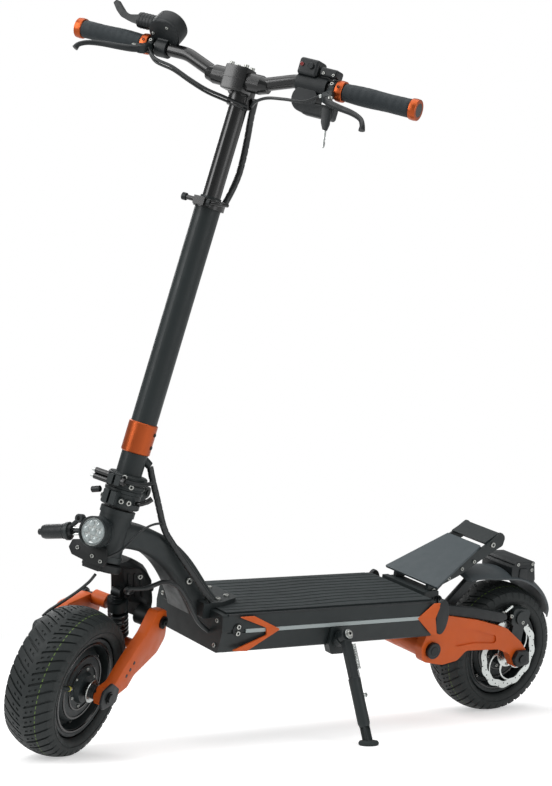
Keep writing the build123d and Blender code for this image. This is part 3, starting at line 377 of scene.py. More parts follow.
def skin(rings, count):
    """Quads between all of the rings, and a face over each end."""
    faces = [face for i in range(rings - 1) for face in band(i, count)]
    return faces + [tuple(reversed(range(count))), tuple(range((rings - 1) * count, rings * count))]


def solid(verts, faces, weld=0.0):
    """A closed mesh in the making, its faces turned outwards."""
    bm = bmesh.new()
    made = [bm.verts.new(v) for v in verts]
    for face in faces:
        bm.faces.new([made[i] for i in face])
    if weld:
        bmesh.ops.remove_doubles(bm, verts=bm.verts, dist=weld)
    bmesh.ops.recalc_face_normals(bm, faces=bm.faces)
    return bm


def ease(bm, edges, width):
    """Round off some edges of a mesh in the making."""
    bmesh.ops.bevel(bm, geom=edges, offset=width, segments=2, profile=0.6, affect="EDGES", clamp_overlap=True)


class Piece:
    """One mesh in the making; parts are added in mm in the piece's local frame."""

    def __init__(self, look):
        self.verts, self.faces, self.index, self.looks = [], [], [], []
        self.use(look)

    def use(self, look):
        """The finish of what is added next."""
        if look not in self.looks:
            self.looks.append(look)
        self.now = self.looks.index(look)
        return self

    def put(self, verts, faces, m=None):
        base = len(self.verts)
        flip = m is not None and m.to_3x3().determinant() < 0
        self.verts += [m @ Vector(v) for v in verts] if m is not None else [Vector(v) for v in verts]
        self.faces += [tuple(base + i for i in (reversed(f) if flip else f)) for f in faces]
        self.index += [self.now] * len(faces)
        return self

    def put_bm(self, bm, m=None):
        bm.verts.index_update()
        self.put([v.co.copy() for v in bm.verts], [[v.index for v in f.verts] for f in bm.faces], m)
        bm.free()
        return self

    def lathe(self, profile, m=None, steps=40):
        """Turned about local z from (r, z) points; closed where its ends meet the axis or each other."""
        n = len(profile)
        verts = [polar(r, 360.0 * k / steps, z) for k in range(steps) for r, z in profile]
        faces = []
        for k in range(steps):
            a, b = k * n, (k + 1) % steps * n
            for i in range(n - 1):
                face = [a + i]
                if profile[i][0] > 0:
                    face.append(b + i)
                if profile[i + 1][0] > 0:
                    face.append(b + i + 1)
                face.append(a + i + 1)
                if len(face) > 2:
                    faces.append(face)
        return self.put_bm(solid(verts, faces, 1e-4), m)

    def drum(self, r, z0, z1, m=None, edge=0.6, steps=32, hole=0.0):
        """A round bar or ring along local z with eased edges."""
        profile = [(hole, z0), (r - edge, z0), (r, z0 + edge), (r, z1 - edge), (r - edge, z1), (hole, z1)]
        if hole:
            profile.append((hole, z0))
        return self.lathe(profile, m, steps)

    def rod(self, a, b, r, steps=24, edge=0.5, hole=0.0):
        a, b = Vector(a), Vector(b)
        return self.drum(r, 0, (b - a).length, to_way(a, b - a), min(edge, r * 0.4), steps, hole)

    def prism(self, outline, z0, z1, m=None, bevel=0.0, radii=0):
        """A flat outline in local x and y, drawn out along z, with its corners rounded and edges eased."""
        if radii:
            outline = rounded(outline, radii)
        bm = bmesh.new()
        face = bm.faces.new([bm.verts.new((p[0], p[1], z0)) for p in outline])
        made = bmesh.ops.extrude_face_region(bm, geom=[face])
        far = [v for v in made["geom"] if isinstance(v, bmesh.types.BMVert)]
        bmesh.ops.translate(bm, verts=far, vec=(0, 0, z1 - z0))
        bmesh.ops.recalc_face_normals(bm, faces=bm.faces)
        if bevel:
            ease(bm, [e for e in bm.edges if abs(e.verts[0].co.z - e.verts[1].co.z) < 1e-6
                      or e.calc_face_angle(0) > 0.6], bevel)
        return self.put_bm(bm, m)

    def box(self, x0, x1, y0, y1, z0, z1, bevel=1.0):
        return self.prism([(x0, y0), (x1, y0), (x1, y1), (x0, y1)], z0, z1, None, bevel)

    def side(self, outline, y0, y1, m=None, bevel=1.0, radii=0):
        """A side-view outline in x and z, drawn out across."""
        return self.prism(outline, y0, y1, (m or Matrix()) @ SIDE_VIEW, bevel, radii)

    def tube(self, points, r, steps=14, relief=None):
        """A round tube along points; r is a value or one for each point, relief(turn, run) adds to it."""
        pts = [Vector(p) for p in points]
        count = len(pts)
        each = r if hasattr(r, "__len__") else [r] * count
        ways = [(pts[min(i + 1, count - 1)] - pts[max(i - 1, 0)]).normalized() for i in range(count)]
        x = ways[0].orthogonal().normalized()
        verts, run = [], 0.0
        for i, (p, w) in enumerate(zip(pts, ways)):
            if i:
                run += (p - pts[i - 1]).length
            x = (x - w * x.dot(w)).normalized()
            y = w.cross(x)
            for k in range(steps):
                t = 2 * pi * k / steps
                rr = each[i] + (relief(t, run) if relief else 0)
                verts.append(p + x * rr * cos(t) + y * rr * sin(t))
        return self.put(verts, skin(count, steps))

    def sections(self, rings, m=None):
        """Skin over a list of closed rings with equal numbers of points."""
        verts = [v for ring in rings for v in ring]
        return self.put_bm(solid(verts, skin(len(rings), len(rings[0]))), m)

    def coil(self, a, b, r, wire, turns, steps, around):
        """A coil spring from a to b with closed end turns."""
        a, b = Vector(a), Vector(b)
        m = to_way(a, b - a)
        length = (b - a).length
        flat = COIL_ENDS / turns
        closed = wire * 2 * COIL_ENDS
        total = int(turns * steps)
        pts = []
        for k in range(total + 1):
            t = k / total
            if t < flat:
                z = wire + closed * t / flat
            elif t > 1 - flat:
                z = length - wire - closed * (1 - t) / flat
            else:
                z = wire + closed + (length - 2 * (wire + closed)) * (t - flat) / (1 - 2 * flat)
            pts.append(m @ polar(r, 360 * t * turns, z))
        return self.tube(pts, wire, around)

    def cap_screw(self, at, way, r=4.0, h=4.0, look="bolt"):
        """Socket head with its hexagon, standing on a point."""
        before = self.now
        m = to_way(at, way)
        self.use(look)
        e, s = r * 0.16, r * 0.5
        head = [(s, h - r * 0.6), (s, h - e * 0.5), (s + e * 0.5, h), (r - e, h), (r, h - e), (r, 0)]
        self.lathe(head, m, 20)
        self.use("dark_steel")
        self.lathe([(0, h - r * 0.6), (s, h - r * 0.6)], m, 6)
        self.now = before
        return self

    def make(self, name, place, body, replaces=(), angle=34):
        """The finished object, riding on its body if it has one."""
        mesh = bpy.data.meshes.new(name)
        mesh.from_pydata([place @ v for v in self.verts], [], self.faces)
        for look in self.looks:
            mesh.materials.append(M[look])
        mesh.polygons.foreach_set("material_index", self.index)
        mesh.polygons.foreach_set("use_smooth", [True] * len(self.faces))
        mesh.validate()
        mesh.update()
        mesh.set_sharp_from_angle(angle=radians(angle))
        obj = bpy.data.objects.new(name, mesh)
        bpy.context.scene.collection.objects.link(obj)
        if body:
            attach(obj, body)
        if replaces:
            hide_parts(*replaces)
        return obj


# Floor and light

FLOOR_GLOW = 0.47
FADE_FROM, FADE_TO = 0.8, 2.0     # m from the origin, where the floor turns into plain white
REACH = 10.0
SKY = 0.36
LIGHT_AIM = Vector((0, 0, 0.5))
WHITE = (1, 1, 1, 1)
# name, place in m along the camera's back and right and up, size in m, power
LIGHTS = [("key", (1.2, -2.2, 2.0), (1.0, 2.2), 44), ("fill", (2.0, 2.4, 1.2), (1.6, 2.2), 25),
          ("top", (0.2, 0.0, 3.2), (3.0, 3.0), 54), ("rim", (-2.0, -1.2, 1.8), (1.2, 1.8), 24)]


def floor_finish():
    """Pale and shadowed near the object, and plain white for the camera further out."""
    n = Nodes("floor")
    plain = {"Base Color": (0.8, 0.8, 0.8, 1), "Roughness": 0.9, "Specular IOR Level": 0.0}
    for socket, value in plain.items():
        n.feed(value, n.bsdf.inputs[socket])
    path = n.add("ShaderNodeLightPath").outputs
    seen = n.math("MAXIMUM", path["Is Camera Ray"],
                  n.math("MAXIMUM", path["Is Glossy Ray"], path["Is Transmission Ray"]))
    glow = n.add("ShaderNodeEmission")
    n.feed(n.math("MULTIPLY", seen, FLOOR_GLOW), glow.inputs["Strength"])
    lit = n.add("ShaderNodeAddShader")
    n.feed(n.bsdf.outputs[0], lit.inputs[0])
    n.feed(glow.outputs[0], lit.inputs[1])
    far = n.add("ShaderNodeVectorMath", operation="LENGTH")
    n.feed(n.coord, far.inputs[0])
    share = n.math("DIVIDE", far.outputs["Value"], REACH)
    fade = n.ramp(share, (FADE_FROM / REACH, 0.0), (FADE_TO / REACH, 1.0))
    white = n.add("ShaderNodeEmission")
    n.feed(seen, white.inputs["Strength"])
    n.feed(n.mix_shader(fade, lit.outputs[0], white.outputs[0]), n.out.inputs[0])
    return n.mat


def make_floor():
    bm = bmesh.new()
    bmesh.ops.create_grid(bm, x_segments=1, y_segments=1, size=14)
    mesh = bpy.data.meshes.new("floor")
    bm.to_mesh(mesh)
    bm.free()
    mesh.materials.append(floor_finish())
    floor = bpy.data.objects.new("floor", mesh)
    bpy.context.scene.collection.objects.link(floor)


def make_world():
    """White for the camera and through glass, and a dimmer even light on the object."""
    world = bpy.data.worlds.new("studio")
    bpy.context.scene.world = world
    world.use_nodes = True
    n = Tree(world.node_tree)
    out = n.add("ShaderNodeOutputWorld")
    path = n.add("ShaderNodeLightPath").outputs
    seen = n.math("MAXIMUM", path["Is Camera Ray"], path["Is Transmission Ray"])
    light, white = (n.add("ShaderNodeBackground", Color=WHITE, Strength=k).outputs[0] for k in (SKY, 1.0))
    n.feed(n.mix_shader(seen, light, white), out.inputs[0])


def area_light(name, at, size, power):
    data = bpy.data.lights.new(name, "AREA")
    data.shape = "RECTANGLE"
    data.size, data.size_y = size
    data.energy = power
    light = bpy.data.objects.new(name, data)
    bpy.context.scene.collection.objects.link(light)
    light.location = at
    light.rotation_mode = "QUATERNION"
    light.rotation_quaternion = (LIGHT_AIM - at).to_track_quat("-Z", "Y")


make_floor()
make_world()
for name, (back, right, up), size, power in LIGHTS:
    area_light(name, BACK * back + RIGHT * right + Vector((0, 0, up)), size, power)

# Cords

CORD_STEPS = 14
HARNESS_R = 5.5
WRAP_PITCH = 12.0


def cord_line(points):
    """Points along the smooth line of a cord's route, in metres."""
    curve = bpy.data.curves.new("route", "CURVE")
    curve.dimensions = "3D"
    spline = curve.splines.new("NURBS")
    spline.points.add(len(points) - 1)
    for knot, p in zip(spline.points, points):
        knot.co = (p[0], p[1], p[2], 1)
    spline.order_u = 3
    spline.use_endpoint_u = True
    spline.resolution_u = CORD_STEPS
    obj = bpy.data.objects.new("route", curve)
    mesh = bpy.data.meshes.new_from_object(obj)
    line = [v.co.copy() for v in mesh.vertices]
    bpy.data.objects.remove(obj)
    bpy.data.curves.remove(curve)
    bpy.data.meshes.remove(mesh)
    return line


def on_column(*points):
    return [COLUMN @ Vector(p) for p in points]


def on_frame(*points):
    return [FRAME @ Vector(p) for p in points]


def wrapped(turn, run):
    """Relief of a spiral wrap: one flat band with a narrow gap at each pitch."""
    phase = (run / WRAP_PITCH - turn / (2 * pi)) % 1.0
    return -0.55 if phase < 0.14 else 0.12


def cord_between(name, route, r, node, relief=None, steps=16):
    """A mesh tube along a cord's route, turning over from one body to the next."""
    line = cord_line(route)
    piece = Piece("sheath")
    piece.tube([p / MM for p in line], r, steps, relief=relief)
    obj = piece.make(name, SCALE, None, (node,), angle=50)
    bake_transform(obj)
    return obj


STEM_ROUTE = on_column((-24.5, 21.5, 380.5), (-30, 29, 362), (-37, 38, 343), (-44, 47, 323), (-52, 55, 303))
cord_between("harness_bar", on_column((2, 28, BAR_S - 23.3), (-11, 22, 988), (-30, 17, 955), (-39, 17, 915),
                                      (-38, 18, 872), (-26.5, 14, 834.4)),
             HARNESS_R, "harness_bar_run", wrapped, 24)
cord_between("harness_stem", STEM_ROUTE,
             HARNESS_R, "harness_stem_run", wrapped, 24)
cord_between("harness_deck", STEM_ROUTE[-1:] + on_column((-60, 63, 283)) + on_frame(
    (806, 38, 366), (789, 45, 343), (771, 51, 321), (753, 55, 300), (738, 57, 282), (725, 57, DECK_TOP + 15)),
             HARNESS_R, "harness_deck_run", wrapped, 24)
cord_between("motor_lead", on_column((-56, 34, 172), (-70, 52, 176)) + on_frame(
    (825, 24, 292), (815, 40, 304), (796, 54, 299), (779, 61, 276), (764, 64, 251), (748, 65, 230),
    (729, 65, 219)),
             4, "motor_cable")
cord_between("lamp_lead", on_column((34, 14, 216), (27, 24, 224), (19, 33, 234), (12, 40, 246)) + on_frame(
    (893, 44, 380), (880, 44, 392), (864, 43, 401), (847, 40, 404), (832, 34, 402), (824, 28, 399)),
             2, "lamp_cable", steps=10)

# Tyres

PITCHES = 42
GROOVE_DEPTH = 2.6
CROWN_R = 86.4
MARK_Y = 23                   # the coloured line runs from this row of the tread to the next
# share of a pitch, and what is cut there: 0 nothing, 1 the groove, 2 the sipe
TREAD_COLUMNS = [(0.0, 0), (0.04, 1), (0.19, 1), (0.23, 0), (0.36, 0), (0.48, 0), (0.51, 2), (0.66, 2),
                 (0.69, 0), (0.84, 0)]
PLAIN_COLUMNS = (3, 4, 5, 8, 9)
# y, radius (0 for the crown's own), how much of the groove, and the depth of the small sipes
TREAD_ROWS = [(0, 0, 0, 0), (3, 0, 0, 0), (4.2, 0, 1, 0), (6.4, 0, 1, 0), (7, 0, 1, 1.6), (10.6, 0, 1, 1.6),
              (11.2, 0, 1, 0), (15.6, 0, 1, 0), (16.2, 0, 1, 1.6), (19, 0, 1, 1.6), (19.6, 0, 1, 0),
              (23, 0, 1, 0), (24.2, 0, 1, 0), (30, 0, 1, 0), (36, 0, 1, 0), (40, 0, 1, 0), (42, 0, 1, 0),
              (43.7, 112.6, 0.85, 0), (44.9, 108.4, 0.6, 0), (45.3, 106.6, 0, 0), (45.5, 104, 0, 0),
              (45.6, 101.4, 0, 0), (44.6, 101, 0, 0), (44.5, 98.8, 0, 0), (45.2, 98.4, 0, 0),
              (44.6, 95.4, 0, 0), (43.2, 92.4, 0, 0), (41.4, 90.2, 0, 0), (38.6, 88.4, 0, 0),
              (36.6, 87.9, 0, 0)]


def tyre(name, place, body, node):
    """Directional tread: V grooves that run over the shoulders, sipes between them, smooth sidewalls."""
    rows = [(-y, r, g, d) for y, r, g, d in reversed(TREAD_ROWS[1:])] + TREAD_ROWS
    piece = Piece("tyre")
    for y, r, groove, sipe in rows:
        radius = r or TYRE_R - CROWN_R + sqrt(CROWN_R ** 2 - y * y)
        shift = 0.55 * min(abs(y), 43) + 0.1 * max(abs(y) - 20, 0)
        cuts = (0, GROOVE_DEPTH * groove, sipe)
        for pitch in range(PITCHES):
            for share, kind in TREAD_COLUMNS:
                at = radius - cuts[kind]
                turn = 2 * pi * (pitch + share) / PITCHES + shift / TYRE_R
                piece.verts.append(Vector((at * cos(turn), y, at * sin(turn))))
    count = PITCHES * len(TREAD_COLUMNS)
    for i in range(len(rows) - 1):
        faces = band(i, count)
        if rows[i][0] == MARK_Y:
            marks = [f for k, f in enumerate(faces) if k % len(TREAD_COLUMNS) in PLAIN_COLUMNS]
            piece.use("mark")
            piece.index += [piece.now] * len(marks)
            piece.faces += marks
            faces = [f for f in faces if f not in marks]
        piece.use("tyre")
        piece.index += [piece.now] * len(faces)
        piece.faces += faces
    return piece.make(name, place, body, (node,), angle=30)


tyre("front_tread", FRONT_WHEEL, "front_wheel", "front_tyre")
tyre("rear_tread", REAR_WHEEL, "rear_wheel", "rear_tyre")


def rim_fittings(name, place, body, side, valve_deg):
    """Rim and cover bolts, raised rings and the valve, on one side of a wheel."""
    m = to_way((0, 0, 0), (0, side, 0), (1, 0, 0))
    p = Piece("gloss")
    p.lathe([(74, 34), (75, 36.8), (77.5, 37.2), (79, 36.4), (79, 34)], m, 96)
    p.lathe([(52, 30.5), (52.5, 32.6), (55.5, 32.6), (56.5, 30.5)], m, 80)
    p.lathe([(37, 31.5), (37.4, 34), (40, 34), (41, 31.5)], m, 72)
    for k in range(9):
        p.cap_screw(m @ polar(66.5, 40 * k + 14, 16), (0, side, 0), 3.4, 4.5)
    for k in range(6):
        p.cap_screw(m @ polar(32, 60 * k + 22, 32.4), (0, side, 0), 2.7, 2.4)
    turn = radians(valve_deg)
    out = Vector((cos(turn), 0, sin(turn)))
    stem = [out * r + Vector((0, side * y, 0)) for r, y in ((70, 24), (64, 30), (58, 34), (51, 36))]
    p.use("rubber").tube(stem, 3.4, 14)
    tip = out * 52 + Vector((0, side * 35.7, 0))
    p.use("valve").rod(tip, tip - out * 3, 4.2, 20)
    p.use("steel").rod(tip - out * 3, tip - out * 10, 2.8, 20)
    return p.make(name, place, body)


rim_fittings("front_rim_fittings", FRONT_WHEEL, "front_wheel", 1, 12)
rim_fittings("front_rim_fittings_right", FRONT_WHEEL, "front_wheel", -1, 150)
rim_fittings("rear_rim_fittings", REAR_WHEEL, "rear_wheel", 1, 200)
rim_fittings("rear_rim_fittings_right", REAR_WHEEL, "rear_wheel", -1, 60)

DISC_Y, DISC_R, DISC_T = 54.7, 70.2, 1.9


def disc(name, place, body, node, side):
    """Brake disc: scalloped and drilled ring, six swept spokes and the bolted centre."""
    m = to_way((0, side * DISC_Y, 0), (0, side, 0))
    p = Piece("steel")
    steps, half = 180, DISC_T / 2
    verts, faces = [], []
    for k in range(steps):
        turn = 2 * pi * k / steps
        outer = DISC_R - 1.5 + 1.5 * cos(12 * turn)
        inner = 55.5 + 1.2 * cos(12 * turn)
        for r, z in ((outer, half), (outer, -half), (inner, -half), (inner, half)):
            verts.append(Vector((r * cos(turn), r * sin(turn), z)))
        for j in range(4):
            a, b = 4 * k, 4 * ((k + 1) % steps)
            faces.append((a + j, a + (j + 1) % 4, b + (j + 1) % 4, b + j))
    p.put(verts, faces, m)
    for k in range(6):
        left, right = [], []
        for j in range(9):
            t = j / 8
            r, turn, wide = 23 + 34 * t, radians(60 * k + 46 * t * t), 3.6 - 1.2 * sin(pi * t)
            left.append((r * cos(turn) - wide * sin(turn), r * sin(turn) + wide * cos(turn)))
            right.append((r * cos(turn) + wide * sin(turn), r * sin(turn) - wide * cos(turn)))
        p.prism(right + left[::-1], -half * 0.9, half * 0.9, m, 0.2)
    p.drum(27, -half, half, m, 0.3, 60, 12)
    p.use("dark_steel")
    for k in range(36):
        r = (60.2, 63.4, 66.4)[k % 3]
        p.rod(m @ polar(r, 10 * k, -half - 0.15), m @ polar(r, 10 * k, half + 0.15), 1.7, 14)
    for k in range(6):
        p.cap_screw(m @ polar(22, 60 * k + 30, half), (0, side, 0), 3, 1.8)
    return p.make(name, place, body, (node,))


disc("front_rotor", FRONT_WHEEL, "front_wheel", "front_disc", -1)
disc("rear_rotor", REAR_WHEEL, "rear_wheel", "rear_disc", 1)

# Fork

HINGE_S, FOLD_LOW, FOLD_R = 336.0, 304.0, 31.0
CROWN_TOP, STEERER_R = 209.0, 17.5
FRONT_PIVOT = (WHEELBASE - 146, 228)
ARM_FRONT_IN, ARM_FRONT_OUT = 60.0, 80.0
FRONT_SHOCK = (WHEELBASE - 116, 262), (WHEELBASE - 153, 168)
# Outlines of the arms from the axle, and the radii of their corners
LEFT_ARM = [(-154, 249), (-124, 252), (-98, 215), (-66, 189), (-43, 167), (-22, 144), (1, 140), (11, 126),
            (5, 110), (-8, 108), (-44, 121), (-68, 127), (-84, 145), (-115, 157), (-150, 171), (-170, 196),
            (-162, 232)], [10, 12, 20, 30, 30, 14, 10, 8, 8, 10, 20, 8, 12, 20, 20, 20, 20]
RIGHT_ARM = [(-180, 224), (-134, 235), (-62, 231), (-30, 197), (8, 143), (17, 126), (10, 110), (-8, 108),
             (-44, 121), (-68, 127), (-84, 145), (-115, 157), (-150, 171),
             (-176, 194)], [10, 14, 24, 30, 14, 10, 8, 8, 10, 20, 8, 12, 20, 14]


def front_arms():
    """Leading arms with broad chamfers, three plugged holes a side and the shock's cross bar."""
    p = Piece("orange")
    for m, (from_axle, radii) in zip(BOTH_SIDES, (LEFT_ARM, RIGHT_ARM)):
        outline = [(WHEELBASE + x, z) for x, z in from_axle]
        p.side(outline, ARM_FRONT_IN, ARM_FRONT_OUT, m, 3.6, radii)
        p.use("dark_steel")
        for x, z in ((-74, 170), (-65, 160), (-56, 151)):
            plug = [m @ Vector((WHEELBASE + x, ARM_FRONT_OUT + out, z)) for out in (-1.6, 0.5)]
            p.rod(*plug, 3.4, 20)
        p.use("orange")
    low = FRONT_SHOCK[1]
    for way in (1, -1):
        p.rod((low[0], way * 10, low[1]), (low[0], way * (ARM_FRONT_IN + 1), low[1]), 9, 28)
    p.use("dark_steel").rod((low[0], -20, low[1]), (low[0], 20, low[1]), 4.9)
    return p.make("front_arm_pair", FORK, "fork", ("front_arms",))


def spring_unit(name, top, low, r, turns, wire, eye, body, node, place, cover=0):
    """Coil-over shock: eyes, damper body, rod, seats and the coil."""
    a, b = Vector((top[0], 0, top[1])), Vector((low[0], 0, low[1]))
    way = (b - a).normalized()
    length = (b - a).length
    p = Piece("dark_steel")
    for at in (a, b):
        p.rod(at - Vector((0, 9, 0)), at + Vector((0, 9, 0)), eye, 28, 0.8)
    p.rod(a + way * eye * 0.6, a + way * (eye + 6), 8, 24)
    p.rod(b - way * eye * 0.6, b - way * (eye + 6), 8, 24)
    p.use("cast").rod(a + way * (eye + 3), a + way * (eye + 8), r, 36, 1.2)
    p.rod(b - way * (eye + 8), b - way * (eye + 3), r, 36, 1.2)
    p.use("dark_steel").rod(a + way * eye, a + way * length * 0.6, r - wire * 2 - 1.5, 28)
    p.use("steel").rod(a + way * length * 0.55, b - way * eye, 5, 24)
    if cover:
        p.use("cast").rod(a + way * (eye + 3), a + way * (eye + 6 + cover), r, 36, 1.2)
    p.use("spring").coil(a + way * (eye + 7 + cover), b - way * (eye + 7), r - wire, wire, turns, 30, 10)
    return p.make(name, place, body, (node,))


front_arms()
spring_unit("front_coil", *FRONT_SHOCK, 18, 5.5, 3.2, 9, "fork", "front_shock", FORK, 20)


def yoke():
    """Steerer, crown and the set-back yoke: a blunt bow in plan, with ribs and the arms' bosses."""
    px, pz = FRONT_PIVOT
    # height, then x at the nose, shoulder, rear corner and back, and the half widths of nose and shoulder
    levels = [(334, 940, 920, 884, 862, 14, 28), (324, 898, 880, 858, 838, 13, 28),
              (312, 864, 838, 830, 812, 12, 30), (300, 857, 824, 812, 796, 12, 32),
              (285, 850, 814, 796, 780, 12, 34), (262, 841, 803, 786, 770, 12, 34),
              (250, 838, 798, 780, 766, 12, 34), (240, 812, 797, 777, 764, 14, 34),
              (222, 800, 792, 777, 766, 14, 34), (214, 796, 790, 780, 770, 12, 30)]
    rings = []
    for z, nose, shoulder, rear, back, thin, wide in levels:
        half = [(nose, thin), (shoulder, wide), (rear, wide), (back, thin + 8)]
        rings.append([Vector((x, y, z)) for x, y in half] + [Vector((x, -y, z)) for x, y in reversed(half)])
    # The yoke and its near boss take the darker copy of the cast paint: painted shade
    p = Piece("cast_shaded")
    p.sections(rings)
    for way in (1, -1):
        look, r = ("cast_shaded", 17) if way > 0 else ("orange", 13)
        p.use(look).rod((px, way * 30, pz), (px, way * (ARM_FRONT_IN - 0.3), pz), r, 40, 1.5)
        p.use("cast_shaded")
        for t in (0.2, 0.5, 0.8):
            top = Vector((857 - 33 * t, way * (12 + 20 * t), 302))
            low = Vector((840 - 39 * t, way * (12 + 22 * t), 256))
            p.rod(top, low, 2.6, 14)
        p.cap_screw((829, way * 27.5, 296), (0.5, way * 0.87, 0), 4.6, 3.2)
        p.cap_screw((790, way * 34, 268), (0, way, 0), 4.2, 2.6, "dark_steel")
        p.use("cast_shaded")
    to_fork = FORK.inverted() @ COLUMN
    p.drum(33, 195, CROWN_TOP, to_fork, 2, 56, 10)
    p.drum(STEERER_R, CROWN_TOP - 2, HINGE_S - 6, to_fork, 0.6, 48, 12)
    p.use("sheath").tube(smooth_path([(836, 20, 270), (856, 24, 274), (868, 31, 281), (866, 38, 286)], 8),
                         [7 - 2 * k / 24 for k in range(25)], 16)
    return p.make("yoke", FORK, "fork", ("fork_yoke",))


def fork_trim():
    """Pivot caps, axle covers and the bright washers inside the arms."""
    px, pz = FRONT_PIVOT
    p = Piece("dark_steel")
    for way in (1, -1):
        face = way * (ARM_FRONT_OUT + 2)
        p.use("dark_steel").rod((px, face - way * 8, pz), (px, face + way * 2, pz), 10, 36, 1)
        p.cap_screw((px, face + way * 2, pz), (0, way, 0), 5.5, 3.5, "dark_steel")
        cover = Matrix.Translation((WHEELBASE, ARM_FRONT_OUT if way > 0 else -ARM_FRONT_OUT - 5, TYRE_R))
        outline = [(-30, -16), (14, -20), (22, -6), (20, 14), (-6, 24), (-32, 8)]
        p.use("plastic").side(outline, 0, 5, cover, 2, 8)
        p.rod((WHEELBASE, way * 41, TYRE_R), (WHEELBASE, way * 60, TYRE_R), 12, 40, 0.8)
        p.use("steel").rod((WHEELBASE, way * 50, TYRE_R), (WHEELBASE, way * 53, TYRE_R), 20, 48, 0.6, 12)
        p.use("cast")
    return p.make("fork_trim", FORK, "fork")


yoke()
fork_trim()

# Column

LAMP_A, LAMP_S, LAMP_R = 66.0, 258.0, 25.0
DAMPER_IN, DAMPER_OUT = Vector((38, -50, 244)), Vector((38, -103, 226))


def fold_lower():
    """Clamp band, lug screws and ribs of the joint's lower half."""
    p = Piece("cast")
    p.drum(FOLD_R + 2.2, FOLD_LOW + 1, FOLD_LOW + 11, None, 1, 56, FOLD_R - 1)
    p.drum(FOLD_R + 1.2, HINGE_S - 8, HINGE_S - 1, None, 1, 56, FOLD_R - 1)
    for deg in (29, 51, -40):
        at = polar(FOLD_R, deg, FOLD_LOW + 12)
        way = polar(1, deg)
        p.use("cast").rod(at - way * 4, at + way * 2.4, 7, 28, 1)
        p.cap_screw(at + way * 2.4, way, 4.4, 3)
    lever = smooth_path([(8, 34, 318), (10, 42, 320), (6, 50, 326), (2, 56, 334)], 6)
    p.use("gloss").tube(lever, [4] * 12 + [4.6] * 7, 14)
    return p.make("fold_lower_trim", COLUMN, "fork")


def fold_upper():
    """Quick release, its knob and lever, clamp bands and screws of the joint's upper half."""
    p = Piece("cast")
    p.drum(FOLD_R + 2.4, HINGE_S + 2, HINGE_S + 9, None, 1, 56, FOLD_R - 1)
    p.drum(FOLD_R + 2.4, HINGE_S + 16, HINGE_S + 23, None, 1.4, 56, FOLD_R - 1)
    for deg, s in ((45, 6.5), (20, 19.5), (-20, 6.5)):
        way = polar(1, deg)
        p.cap_screw(way * (FOLD_R + 2.2) + Vector((0, 0, HINGE_S + s)), way, 4.4, 3)
    for s in (7, 17):
        p.use("gloss").rod((40, -12, HINGE_S + s), (40, -40, HINGE_S + s), 5, 24, 0.8)
        p.use("steel").rod((40, -40, HINGE_S + s), (40, -46, HINGE_S + s), 3, 18)
    p.use("gloss").rod((40, 12, HINGE_S + 12), (40, 19, HINGE_S + 12), 7, 28, 1)
    p.use("dark_steel").rod((38, -22, HINGE_S - 10), (38, -38, HINGE_S - 16), 5.5, 24, 1.5)
    lever = [(38, 16, HINGE_S + 14), (30, 30, HINGE_S + 14), (14, 39, HINGE_S + 16), (-6, 42, HINGE_S + 20)]
    p.use("plastic").tube(smooth_path(lever, 6), 3.6, 14)
    return p.make("fold_upper_trim", COLUMN, "stem")


fold_lower()
fold_upper()


def collar():
    """Anodised collar with eased ends and the clamp slot's screws at the back left."""
    p = Piece("anodised")
    p.drum(24.7, 397, 449, None, 1.4, 72, 22.2)
    p.use("dark_steel")
    for s in (412, 434):
        way = polar(1, 96)
        p.cap_screw(way * 23.6 + Vector((0, 0, s)), way, 3.4, 2.6, "dark_steel")
    return p.make("collar", COLUMN, "stem", ("stem_collar",))


collar()


def headlamp():
    """Reflector with seven glass cells behind a rim."""
    face = LAMP_A - 4.8
    m = to_way((face, 0, LAMP_S), (1, 0, 0), (0, 1, 0))
    p = Piece("steel")
    bowl = [(0, 0), (LAMP_R - 2, 0), (LAMP_R - 2, 1.2), (LAMP_R - 3.2, 1.2), (LAMP_R - 3.6, 0.6), (0, 0.6)]
    p.lathe(bowl, m, 56)
    p.use("lens")
    for k in range(7):
        spot = polar(14 if k < 6 else 0, 60 * k)
        dome = [(0, 3.4), (2.6, 3.1), (4.8, 2.4), (6.4, 1.2), (7, 0.4), (0, 0.4)]
        p.lathe(dome, m @ Matrix.Translation(spot), 6 if k < 6 else 24)
    p.lathe([(LAMP_R - 3.4, 0.8), (LAMP_R - 6, 2.2), (LAMP_R - 9, 0.8)], m, 56)
    return p.make("headlamp_cells", COLUMN, "fork", ("headlamp_lens",), angle=25)


def lamp_plate():
    """Wedge plate on the crown's front, the lamp's post and the lug that holds the damper."""
    outline = [(28, 214), (24, 205), (4, 203.5), (-38, 208), (-47, 218), (-44, 232), (-20, 240), (22, 236)]
    # The plate takes the darker copy of the cast paint: painted shade
    p = Piece("cast_shaded")
    p.prism(rounded(outline, 4), 36, 42, FRONT_VIEW, 1)
    p.box(12, 37, -16, 16, CROWN_TOP - 14, CROWN_TOP + 1, 1)
    p.box(34, LAMP_A - 26, -9, 9, 222, LAMP_S + 4, 1)
    for y, s in ((0.7, 217), (-30, 222), (18, 213)):
        p.cap_screw((42, y, s), (1, 0, 0), 3.4, 2.2)
    return p.make("lamp_plate", COLUMN, "fork", ("lamp_bracket",))


def lamp_trim():
    """Cooling rings of the lamp's body and the rim of its window."""
    p = Piece("paint")
    for a in (LAMP_A - 19, LAMP_A - 14, LAMP_A - 9):
        m = to_way((a, 0, LAMP_S), (1, 0, 0))
        p.drum(LAMP_R + 0.9, 0, 2.2, m, 0.5, 56, LAMP_R - 1)
    p.drum(LAMP_R + 0.8, 0, 3, to_way((LAMP_A - 3, 0, LAMP_S), (1, 0, 0)), 0.8, 56, LAMP_R - 1.8)
    return p.make("lamp_trim", COLUMN, "fork")


